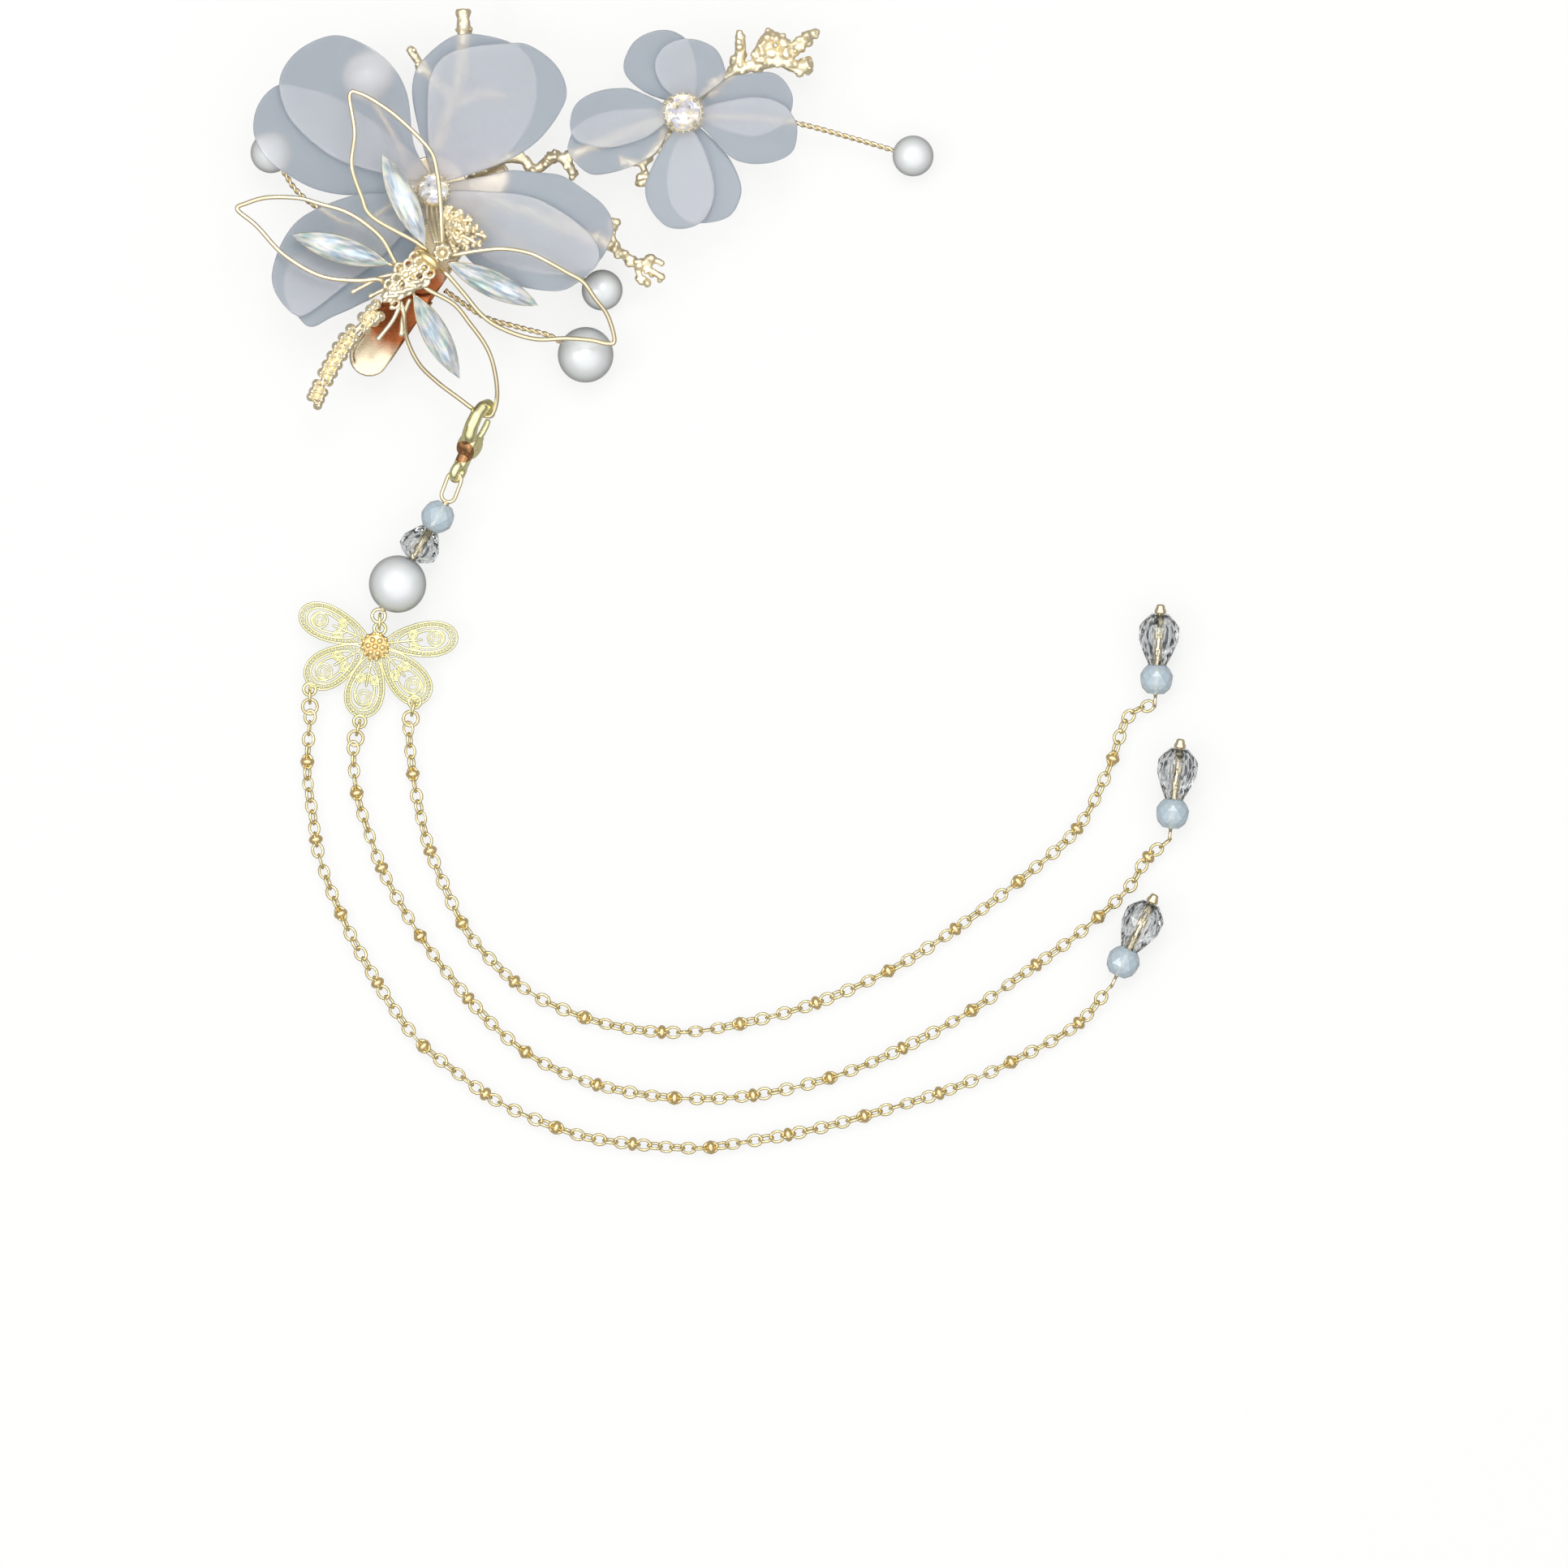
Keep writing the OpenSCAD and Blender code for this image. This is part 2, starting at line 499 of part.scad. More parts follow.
module coral_right() {
    color(gold) {
        twig([[7.1, 12.9, 7.1], [14, 10.6, 7.3], [22, 7.6, 7.6], [30.6, 4.2, 8.2], [36, 1, 8.7],
              [41.4, -2.1, 9]], 0.85, 0.65);
        twig([[33, 3, 8.4], [32, 6, 8.8], [32.6, 8.2, 9]], 0.6, 0.45);
        twig([[37, 0.4, 8.7], [39.4, 1.2, 9], [41.3, 0.4, 9.3]], 0.6, 0.45);
        twig([[36.4, 0.8, 8.7], [37, -1.6, 8.8], [38.8, -2.8, 9]], 0.6, 0.45);
    }
}
module coral_small() {
    color(gold) {
        twig([[47.8, 30, 7.1], [51, 32.6, 7.6], [53.8, 34.6, 8.2], [54.6, 37.6, 8.6], [54.6, 41.2, 8.8]],
            0.9, 0.95);
        twig([[53.6, 34.6, 8.2], [57.4, 35.4, 8.6], [61.6, 36.2, 9], [64.4, 35.2, 9.2], [67, 35.6, 9.4]],
            0.85, 1.15);
        twig([[58.2, 35.8, 8.8], [58.2, 38.2, 9], [59.8, 40.6, 9.2], [62.2, 39.4, 9.3], [63.2, 37, 9.3]],
            1, 1.05);
        twig([[63, 36.9, 9.2], [65, 38.8, 9.3], [66.6, 40.6, 9.4], [68, 41, 9.5]], 1, 0.85);
        twig([[41.8, 24.1, 7.1], [39.4, 20.6, 7.2], [36.6, 18.4, 7.4], [33, 19.4, 7.6]], 0.75, 0.6);
        twig([[37, 18.7, 7.4], [37.8, 16.6, 7.5], [37, 14.6, 7.6]], 0.6, 0.5);
    }
}
module stamens() {
    color(gold) {
        translate([2.2, 7.6, plate_top + 0.05]) cylinder(r = 0.8, h = 6, $fn = 24);
        for (a = [-75:30:75]) let (far = [6.4, 5.6, 15.8] + 3.2 * [cos(a) * 0.7, sin(a), 0.35 * cos(3 * a)])
            twig([[2.2, 7.6, 12.6], [4, 6.8, 14.6], far], 0.6, 0.5, 6, 1);
    }
}

// Dragonfly

// A place on the body: so far back from the head, so far aside and so far up
function on_body(back, aside, up) =
    let (p = head_at + back * back_dir + aside * across) [p[0], p[1], body_z + up];
module dragonfly_body() {
    tail = curve(TAIL, 4);
    color(gold) {
        translate(on_body(0, 0, 0)) sphere(r = 1.95, $fn = 12);
        for (side = [-1.1, 1.1]) translate(on_body(-0.8, side, 0.7)) sphere(r = 1.15, $fn = 10);
        for (q = THORAX) translate(on_body(q[0], q[1], 0)) sphere(r = q[2], $fn = 12);
        for (i = [0:len(tail) - 1]) translate([tail[i][0], tail[i][1], body_z - 0.12 * i])
            sphere(r = 1.7 - 0.03 * i, $fn = 10);
    }
}
module on_navette(i) {
    translate(NAVETTES[i][0]) rotate([0, 0, NAVETTES[i][1]]) rotate([0, NAVETTES[i][2], 0]) children();
}
function navette_edge(l, w) = let (r = (l * l + w * w) / (4 * w), a = asin(l / 2 / r)) concat(
    [for (k = [0:6]) let (t = -a + k * a / 3) [r * sin(t), r * cos(t) - r + w / 2]],
    [for (k = [1:5]) let (t = a - k * a / 3) [r * sin(t), r - w / 2 - r * cos(t)]]);
module tray(i) {
    on_navette(i) translate([0, 0, -tray_t - 0.8]) linear_extrude(tray_t) {
        polygon(navette_edge(navette_l - 0.6, navette_w - 0.4));
        translate([-navette_l / 2 - NAVETTES[i][3], -0.5]) square([NAVETTES[i][3] + 3, 1]);
    }
}
module wing(path, i) {
    color(gold) {
        wire(path, wing_wire_d / 2);
        tray(i);
    }
}
module navette() {
    bottom = navette_edge(navette_l - 1.2, navette_w - 1.2);
    girdle = navette_edge(navette_l, navette_w);
    table = navette_edge(navette_l * 0.66, navette_w * 0.5);
    n = len(girdle);
    levels = [[-0.75, bottom], [0.05, girdle], [0.3, girdle], [1.3, table]];
    polyhedron(
        [for (q = levels) for (p = q[1]) [p[0], p[1], q[0]]],
        concat(
            [[for (k = [0:n - 1]) k]],
            [[for (k = [n - 1:-1:0]) 3 * n + k]],
            [for (i = [0:2]) for (k = [0:n - 1]) let (m = (k + 1) % n) each [
                [i * n + k, (i + 1) * n + k, (i + 1) * n + m],
                [i * n + k, (i + 1) * n + m, i * n + m]
            ]]));
}
module wing_stones() {
    color(crystal_clear) for (i = [0:3]) on_navette(i) navette();
}

// Pearls on their stems

module stem(route) {
    color(gold) wire(route, stem_r);
}
module pearl(at, d) {
    color(pearl_white) translate(at) sphere(d = d, $fn = 48);
}

// Clasp: local X runs from the hook to the eye, local Z is its thickness

module on_clasp() {
    translate(clasp_at) rotate([0, 0, clasp_turn]) rotate([0, clasp_slope, 0]) rotate([clasp_roll, 0, 0])
        children();
}
module clasp_body() {
    color(lemon) on_clasp() {
        difference() {
            union() {
                translate([clasp_pivot, 0, -1.2]) cylinder(r = 1.7, h = 2.4, $fn = 48);
                twin = [[7.4, -1.1, 0], [6.2, -2, 0], [4.5, -2.6, 0], [2.6, -2.5, 0], [1, -1.5, 0],
                        [0.4, 0.1, 0], [0.9, 1.6, 0], [2.1, 2.4, 0]];
                tube(curve(twin, 1), [0.95, 0.9, 0.8, 0.75, 0.72, 0.7, 0.65, 0.5], 8);
                translate([clasp_pivot, -0.7, -0.7]) cube([clasp_eye - clasp_pivot - 1.2, 1.4, 1.4]);
            }
            translate([clasp_pivot, 0, -3]) cylinder(r = lever_pin_r + 0.05, h = 6, $fn = 36);
            translate([clasp_pivot - 1.8, -1.2, -0.5]) cube([3.1, 3.2, 1]);
        }
        translate([clasp_eye, 0, 0]) ring(1.35, 0.42);
    }
}
module clasp_lever() {
    color(lemon) on_clasp() {
        translate([clasp_pivot, 0, -1.2]) cylinder(r = lever_pin_r, h = 2.4, $fn = 36);
        translate([clasp_pivot, 0, -0.4]) cylinder(r = 1, h = 0.8, $fn = 36);
        tube([[7.9, 0.8, 0], [7, 1.9, 0], [5.6, 2.6, 0], [4.3, 2.8, 0], [3.1, 2.7, 0]],
            [0.38, 0.38, 0.42, 0.42, 0.35], 8);
        translate([6.6, 2.6, 0]) sphere(r = 0.55, $fn = 24);
    }
}

// Bead drop, the butterfly and the chain ends

module along(at, turn, slope) {
    translate(at) rotate([0, 0, turn]) rotate([0, 90 + slope, 0]) children();
}
module on_string(at) {
    along(string_top, drop_turn, drop_slope) translate([0, 0, at]) children();
}
// Long loop lying flat: two half rings joined by straight wires, along local Z
module long_loop() {
    along(drop_top, loop_turn, drop_slope) rotate([0, 90, 0]) {
        for (end = [0, 1]) translate([-end * loop_reach, 0, 0]) rotate([0, 0, end * 180 - 90])
            rotate_extrude(angle = 180, $fn = 48) translate([loop_r, 0]) circle(r = loop_wire_r, $fn = 24);
        for (side = [-loop_r, loop_r]) translate([0, side, 0]) rotate([0, -90, 0])
            cylinder(r = loop_wire_r, h = loop_reach, $fn = 24);
    }
}
module drop_pin() {
    color(lemon) {
        long_loop();
        on_string(-loop_wire_r - 0.1) cylinder(r = drop_pin_r, h = loop_at - 0.6, $fn = 24);
        on_string(loop_at) rotate([0, 90, 0]) ring(1.15, 0.32);
    }
}
module drop_blue_bead() {
    color(opal_blue) on_string(bead_at) blue_bead();
}
module drop_crystal() {
    color(crystal_clear) on_string(drop_crystal_at) crystal(drop_crystal_l);
}
module drop_pearl() {
    color(pearl_white) on_string(pearl_at) bead(drop_pearl_d, bore_r);
}
module drop_ring() {
    color(lemon) translate([-8.85, -62.35, 4.15]) rotate([0, 0, 87]) rotate([90, 0, 0]) ring(1.35, 0.28);
}
module butterfly_wing(at, turn, l, w, holes) {
    translate(at) rotate([0, 0, turn]) difference() {
        polygon([for (a = [0:15:345]) [l / 2 * cos(a), w / 2 * sin(a) * (1 + 0.3 * cos(a))]]);
        translate([0.24 * l, 0]) circle(r = 0.26 * w, $fn = 10);
        for (k = [0:holes - 1]) for (side = [-1, 1])
            translate([l * (0.06 - 0.4 * k / holes), side * w * 0.24]) circle(r = 0.5, $fn = 6);
        for (side = [-1, 1]) translate([0.06 * l, side * 0.36 * w]) circle(r = 0.4, $fn = 6);
    }
}
module on_fly() {
    translate(fly_at) rotate([0, 0, fly_turn]) rotate([fly_tilt, 0, 0]) children();
}
module butterfly() {
    color(lemon) on_fly() {
        linear_extrude(fly_t) difference() {
            union() {
                for (side = [-1, 1]) {
                    butterfly_wing([side * 7.8, 2.4], side > 0 ? 14 : 166, 13, 6, 4);
                    butterfly_wing([side * 6.2 - 0.3, -4.4], side > 0 ? -40 : 220, 11.8, 6.5, 3);
                }
                butterfly_wing([-0.5, -7.2], 267, 11.4, 6.6, 3);
                circle(r = 2.6, $fn = 48);
                translate([0.3, 3.1]) circle(r = 1.35, $fn = 36);
                for (eye = FLY_EYES) translate(eye) circle(r = 1.35, $fn = 36);
            }
            translate([0.3, 3.3]) circle(r = 0.7, $fn = 12);
            for (eye = FLY_EYES) translate(eye) circle(r = 0.75, $fn = 12);
        }
        translate([0, 0, fly_t - 0.2]) cylinder(r = 1.9, h = 0.7, $fn = 48);
        for (a = [0:60:300]) rotate([0, 0, a]) translate([1.5, 0, fly_t + 0.3]) sphere(r = 0.55, $fn = 24);
    }
}
function turned(p, a) = [p[0] * cos(a) - p[1] * sin(a), p[0] * sin(a) + p[1] * cos(a)];
function eye_place(k) = let (e = FLY_EYES[k], q = turned([e[0], e[1] * cos(fly_tilt)], fly_turn))
    [fly_at[0] + q[0], fly_at[1] + q[1], fly_at[2] + e[1] * sin(fly_tilt) + fly_t / 2];
// Two linked rings between an eye of the butterfly and the first point of a chain
module ring_pair(eye, start) {
    way = unit([start[0] - eye[0], start[1] - eye[1], 0]);
    turn = atan2(way[1], way[0]);
    first = [eye[0], eye[1], max(eye[2] - 0.1, ring_z)] + way * 1.15;
    translate(first) rotate([0, 0, turn]) rotate([90, 0, 0]) ring(ring_r, ring_wire_r);
    translate(first + way * 1.9) rotate([0, 0, turn]) rotate([0, 8, 0])
        ring(ring_r, ring_wire_r);
}
module jump_rings() {
    color(lemon) {
        ring_pair(eye_place(0), CHAIN_OUTER[0]);
        ring_pair(eye_place(1), CHAIN_MIDDLE[0]);
        ring_pair(eye_place(2), CHAIN_INNER[0]);
    }
}
module chain(route) {
    color(lemon) {
        line = curve(lie(route, chain_d / 2 + 0.1, chain_start_z, chain_end_z), 2);
        tube(line, [for (p = line) chain_d / 2], 8);
    }
}
module on_end(place, at) {
    translate([place[0], place[1], end_z]) rotate([0, 0, place[2]]) rotate([0, 90 - end_tilt, 0])
        translate([0, 0, at]) children();
}
module end_pins() {
    color(lemon) for (place = ENDS) {
        on_end(place, 0) rotate([90, 0, 0]) ring(1, 0.3);
        on_end(place, 1) cylinder(r = drop_pin_r, h = end_bead_at + blue_l + crystal_l, $fn = 24);
        on_end(place, end_bead_at + 0.15 + blue_l + crystal_l) cylinder(r = 1.05, h = 1.6, $fn = 36);
    }
}
module end_blue_beads() {
    color(opal_blue) for (place = ENDS) on_end(place, end_bead_at) blue_bead();
}
module end_crystal(place) {
    color(crystal_clear) on_end(place, end_bead_at + 0.05 + blue_l) crystal(crystal_l);
}

clip_top_arm();
clip_jaw();
clip_pin();
clip_spring();
large_petal(LARGE_FRONT[0], front_z);  // large_front_petal_1
large_petal(LARGE_FRONT[1], front_z);  // large_front_petal_2
large_petal(LARGE_FRONT[2], front_z);  // large_front_petal_3
large_petal(LARGE_FRONT[3], front_z);  // large_front_petal_4
large_petal(LARGE_BACK[0], back_z);  // large_back_petal_1
large_petal(LARGE_BACK[1], back_z);  // large_back_petal_2
large_petal(LARGE_BACK[2], back_z);  // large_back_petal_3
large_petal(LARGE_BACK[3], back_z);  // large_back_petal_4
setting(large_centre, front_z, large_stone_r);  // large_setting
round_stone(large_centre, front_z, large_stone_r);  // large_stone
small_petals(SMALL_FRONT, small_front_z);  // small_front_petals
small_petals(SMALL_BACK, small_back_z);  // small_back_petals
setting(small_centre, small_front_z, small_stone_r);  // small_setting
round_stone(small_centre, small_front_z, small_stone_r);  // small_stone
pearl([-27.9, 20.1, 8.9], small_pearl_d);  // pearl_left
pearl([-11, 33.4, 8.3], 8.6);  // pearl_hidden
pearl([30.3, -4, 3.65], small_pearl_d);  // pearl_mid
pearl([27.4, -15.4, 4.95], big_pearl_d);  // pearl_big
pearl([85, 19.6, 3.65], small_pearl_d);  // pearl_far
stem(STEM_LEFT);  // stem_left
stem(STEM_HIDDEN);  // stem_hidden
stem(STEM_MID);  // stem_mid
stem(STEM_BIG);  // stem_big
stem(STEM_FAR);  // stem_far
coral_link();
coral_top();
coral_right();
coral_small();
stamens();
dragonfly_body();
wing(WING_UPPER, 0);  // wing_upper
wing(WING_LEFT, 1);  // wing_left
wing(WING_RIGHT, 2);  // wing_right
wing(WING_LOWER, 3);  // wing_lower
wing_stones();
clasp_body();
clasp_lever();
drop_pin();
drop_blue_bead();
drop_crystal();
drop_pearl();
drop_ring();
butterfly();
jump_rings();
chain(CHAIN_OUTER);  // chain_outer
chain(CHAIN_MIDDLE);  // chain_middle
chain(CHAIN_INNER);  // chain_inner
end_pins();
end_blue_beads();
end_crystal(ENDS[0]);  // end_crystal_outer
end_crystal(ENDS[1]);  // end_crystal_middle
end_crystal(ENDS[2]);  // end_crystal_inner
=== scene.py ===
"""Bridal hair clip, dressed for the studio.

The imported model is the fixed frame. Each operator makes one group of pieces on a bench that is
measured in millimetres, and lays them in the frame, which is in metres.
"""

import math
from functools import cache

import bmesh
import bpy
from bpy.props import FloatProperty, FloatVectorProperty, IntProperty, PointerProperty
from mathutils import Matrix, Vector, noise


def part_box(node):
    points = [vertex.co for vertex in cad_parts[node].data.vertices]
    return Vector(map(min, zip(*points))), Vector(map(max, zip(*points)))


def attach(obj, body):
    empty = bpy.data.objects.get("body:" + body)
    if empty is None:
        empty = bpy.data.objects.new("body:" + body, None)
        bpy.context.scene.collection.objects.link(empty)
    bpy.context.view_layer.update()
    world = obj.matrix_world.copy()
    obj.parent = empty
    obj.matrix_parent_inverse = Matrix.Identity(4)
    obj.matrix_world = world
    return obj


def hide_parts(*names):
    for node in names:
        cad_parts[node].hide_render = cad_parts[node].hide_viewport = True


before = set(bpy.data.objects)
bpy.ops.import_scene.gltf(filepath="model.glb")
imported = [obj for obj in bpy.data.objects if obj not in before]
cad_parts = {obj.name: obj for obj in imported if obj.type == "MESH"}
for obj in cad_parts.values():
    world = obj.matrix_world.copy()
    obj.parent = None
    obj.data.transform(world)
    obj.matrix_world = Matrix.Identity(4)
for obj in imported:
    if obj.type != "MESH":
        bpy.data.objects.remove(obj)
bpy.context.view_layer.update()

bl_info = {
    "name": "Bridal Hair Clip",
    "version": (1, 0, 0),
    "blender": (4, 5, 0),
    "location": "View3D > Sidebar > Hair Clip",
    "description": "Builds the flowers, dragonfly, bead drop and chains of a bridal hair clip",
    "category": "Object",
}

MM = 0.001
HEAD = "headpiece"

# Places and outlines in millimetres and degrees, as the clip lies face up

CLIP_TURN = 56
CLIP_PIN_X = -6
TAB_SLOPE = 15

LARGE_CENTRE = Vector((0.7, 13.6))
SMALL_CENTRE = Vector((44.6, 27.1))
BACK_Z = 9.4
FRONT_Z = 11
SMALL_BACK_Z = 9
SMALL_FRONT_Z = 10.5
LARGE_RISE = (3.6, 28)
SMALL_RISE = (2.5, 20)
BODY_Z = 18

LARGE_FRONT = [
    [(0.1, 16), (-2.7, 21.4), (-3.9, 30.3), (-6.9, 35.7), (-11.9, 39.3), (-17.1, 40.6), (-23, 38),
     (-26.3, 33), (-25.1, 27), (-20.7, 22), (-14.3, 18.1), (-1.4, 15)],
    [(1.4, 16), (0, 20), (-0.4, 26), (0, 33), (2.6, 37), (7.1, 38.6), (13, 39.2), (17.3, 39),
     (22, 35.7), (24.1, 31.3), (23.1, 27.4), (19, 22.1), (13.1, 18.4), (2.8, 15)],
    [(3.2, 13.4), (12.9, 13.1), (17.9, 12.3), (22, 10.4), (26, 7.7), (29.3, 4.3), (29.7, 0.7),
     (27, -2.1), (23.7, -4.1), (20, -4.2), (15.7, -3.4), (10, -1.4), (4.4, 4.5), (2.4, 11.8)],
    [(-1.7, 13), (-6, 12.9), (-11.4, 12.9), (-17.3, 11.3), (-22.9, 8.3), (-26.1, 3.9), (-27.7, -1.7),
     (-26.4, -5.7), (-23.4, -8.6), (-20.7, -7.9), (-14.3, -2.9), (-7.1, 2.9), (-0.8, 11.5)],
]
LARGE_BACK = [
    [(-0.9, 15.4), (-2.7, 19.5), (-8.6, 24.6), (-13.1, 27.6), (-17.1, 30), (-22, 31.4), (-26.6, 31.9),
     (-30, 28.6), (-30.9, 23.6), (-28.6, 19), (-24, 15.6), (-18.9, 13.3), (-12, 12.6), (-1.8, 13.9)],
    [(0.4, 16.1), (-2.6, 27.1), (-2.9, 32.9), (-0.9, 36.7), (4.3, 40.6), (10, 40.6), (15.7, 38.6),
     (18.6, 34.3), (18.6, 28.6), (15.7, 22.1), (9.5, 17.6), (2, 15.8)],
    [(3, 14.6), (10, 16.1), (14.3, 17), (19.1, 16.6), (23, 16.1), (26.4, 14.1), (30.7, 10.7),
     (32.4, 7.1), (31.7, 4.3), (29.5, 0.7), (24.3, -1.4), (17.1, -0.7), (10, 1.4), (4.5, 7), (3, 13)],
    [(-1.2, 12.1), (-6, 9.4), (-13, 8), (-20, 4.3), (-24.9, 0), (-25.4, -5), (-23, -8.9),
     (-20.7, -10.6), (-17, -8.8), (-13, -7), (-8.1, -4), (-2.1, 4.3), (0.3, 11.2)],
]
SMALL_FRONT = [
    [(43.9, 29.2), (40.7, 32.1), (39.6, 35.7), (41.1, 38.6), (44.1, 40), (47.4, 39.8), (50.3, 38.3),
     (51.7, 35.7), (51.9, 33.3), (49.3, 30.9), (46, 28.8)],
    [(47, 27.6), (52.9, 29.3), (58.1, 29.8), (62.1, 28.5), (64.3, 25.7), (64.6, 23), (63.6, 20),
     (60, 18.3), (55.7, 18.2), (52.4, 19.7), (48.6, 23.8), (46.4, 25.9)],
    [(45.5, 25.2), (47.9, 21.4), (49.7, 16.4), (50, 12.1), (48.3, 8.3), (45, 6.7), (41.3, 7.3),
     (38.4, 11), (38.1, 15), (40.7, 20.7), (43.9, 25.2)],
    [(42.4, 26.4), (38.6, 23.1), (33.7, 21.3), (30, 21), (26, 22.1), (24.7, 24.6), (25.3, 27.9),
     (27.3, 29.9), (30.1, 31), (33, 31.4), (36, 31.1), (42.4, 28)],
]
SMALL_BACK = [
    [(45.8, 29), (46.9, 32.1), (46.7, 36.4), (45.1, 40), (42.1, 41.6), (38.6, 41.2), (35.7, 39.3),
     (34.1, 35.7), (35, 33), (38.6, 30.3), (43.5, 28.9)],
    [(46.8, 28.2), (51.9, 33), (56.4, 34), (60, 34.2), (62.3, 32.8), (63.8, 30), (63.4, 26.9),
     (61.4, 24.6), (57.3, 23.1), (52.1, 24), (47, 26.5)],
    [(46.1, 25.5), (49.3, 22.9), (52.7, 19.1), (54.6, 15), (54.6, 12.1), (52.7, 8.9), (48.6, 7.7),
     (45, 8.3), (42.6, 10.7), (41.7, 15), (42.6, 20), (45, 25.1)],
    [(42.7, 25.9), (40, 20.3), (35.6, 17.7), (30.7, 16.3), (27.6, 16.6), (24.6, 19.7), (24.5, 22.1),
     (26.1, 25), (30.1, 27), (35.6, 27.8), (42.2, 27.2)],
]

# Petals: outlines, centre of the flower, height of its middle, and its rise at a distance
PETALS = {
    **{f"large_{side}_petal_{k + 1}": ([outlines[k]], LARGE_CENTRE, height, LARGE_RISE)
       for k in range(4)
       for side, outlines, height in (("front", LARGE_FRONT, FRONT_Z), ("back", LARGE_BACK, BACK_Z))},
    "small_front_petals": (SMALL_FRONT, SMALL_CENTRE, SMALL_FRONT_Z, SMALL_RISE),
    "small_back_petals": (SMALL_BACK, SMALL_CENTRE, SMALL_BACK_Z, SMALL_RISE),
}

WINGS = {
    "upper": [
        (-1.7, 3.9, 18), (-9.9, 8.6, 19), (-11.9, 12.3, 19.5), (-13.6, 17.7, 20), (-13.1, 23.6, 20),
        (-14, 30, 19.2), (-12.3, 30.4, 19), (-8.9, 28.6, 19.2), (-4.9, 25.6, 19.5), (0, 20.6, 19.7),
        (1.3, 17, 19.5), (2, 11, 18.8), (2.2, 5, 18)],
    "left": [
        (-5.9, 0.6, 18.2), (-8.1, 4.6, 18.8), (-11.1, 7.4, 19), (-14.7, 9.6, 19.1), (-19.3, 11, 19),
        (-23, 12, 18.8), (-28.4, 12.1, 18.4), (-32.1, 11.1, 18), (-33.7, 10, 17.8), (-30.3, 7.1, 18),
        (-25.6, 2.1, 18.3), (-19.3, -1.6, 18.6), (-13, -2.5, 18.6), (-8.8, -2.3, 18.2)],
    "right": [
        (4.8, 2.1, 18), (8.3, 2.7, 18), (12.9, 3.1, 17.6), (17.4, 2.4, 17), (20.7, 0.9, 17),
        (24.1, -1, 16.7), (27, -2.7, 16.4), (29.1, -5.6, 15.4), (31.3, -8.6, 14), (32.5, -12.9, 12.4),
        (31.2, -13.5, 12.4), (28.3, -12.9, 12.8), (24, -12.6, 13.4), (18.4, -12.7, 14.2),
        (13, -11, 15.2), (9.3, -8.6, 16), (6, -4.7, 17), (3.4, -1.7, 17.8)],
    "lower": [
        (-0.2, -4.1, 17.6), (4.3, -6.6, 16.4), (7.1, -10, 15), (9.6, -13.4, 13.6), (11, -16.5, 12.4),
        (11.8, -20.7, 10.6), (11.7, -24, 9), (10.6, -26.2, 8), (8.3, -25.4, 7.8), (5, -23, 8.8),
        (1.3, -20.2, 10.4), (-1.9, -17, 12.4), (-4, -12.6, 14.6), (-4.5, -8.4, 17)],
}
# Where the two ends of each wing wire are sunk in the head and thorax
WING_ROOTS = {
    "upper": ((-0.3, 2.2, 17), (2.2, 3.3, 17.3)),
    "left": ((-4.5, -0.9, 17.2), (-7.4, -3.9, 17.2)),
    "right": ((3.3, 2, 17.3), (1.9, -0.4, 17)),
    "lower": ((-1.5, -2.9, 17), (-5, -6.5, 17)),
}
# Wing stones: centre, turn in plan, slope down towards the tip, reach of the tray's stalk
NAVETTES = {
    "upper": ((-4.5, 11.7, 18.4), 115.3, 0, 0.1),
    "left": ((-15.6, 3, 18.2), 163.3, 0, 1),
    "right": ((11.2, -3.1, 16.4), -25.3, 9, 0),
    "lower": ((1.3, -12.3, 14.6), -61.5, 21, 0.1),
}
NAVETTE_LENGTH = 17.8
NAVETTE_WIDTH = 4.5

STEMS = {
    "left": [(-5.6, 11.6, 7), (-13, 7.4, 7.6), (-19, 10, 8.2), (-23.3, 13.3, 8.7), (-25.8, 17, 8.9)],
    "hidden": [(-4.2, 17.9, 7), (-7, 24, 7.6), (-10, 29, 8.2)],
    "mid": [(6.2, 10.3, 7), (15, 4.5, 6.6), (22, 0.8, 5.2), (27.1, -2.3, 4.1)],
    "big": [(2.7, -4.1, 6.9), (9.3, -8.6, 6.4), (15, -10.4, 5.8), (20.7, -11.9, 5.3), (23, -13.1, 5.1)],
    "far": [(48.8, 26.4, 7), (57, 26.3, 6.8), (65, 25.2, 6.4), (74, 22.8, 5.4), (81.5, 20.6, 4.1)],
}

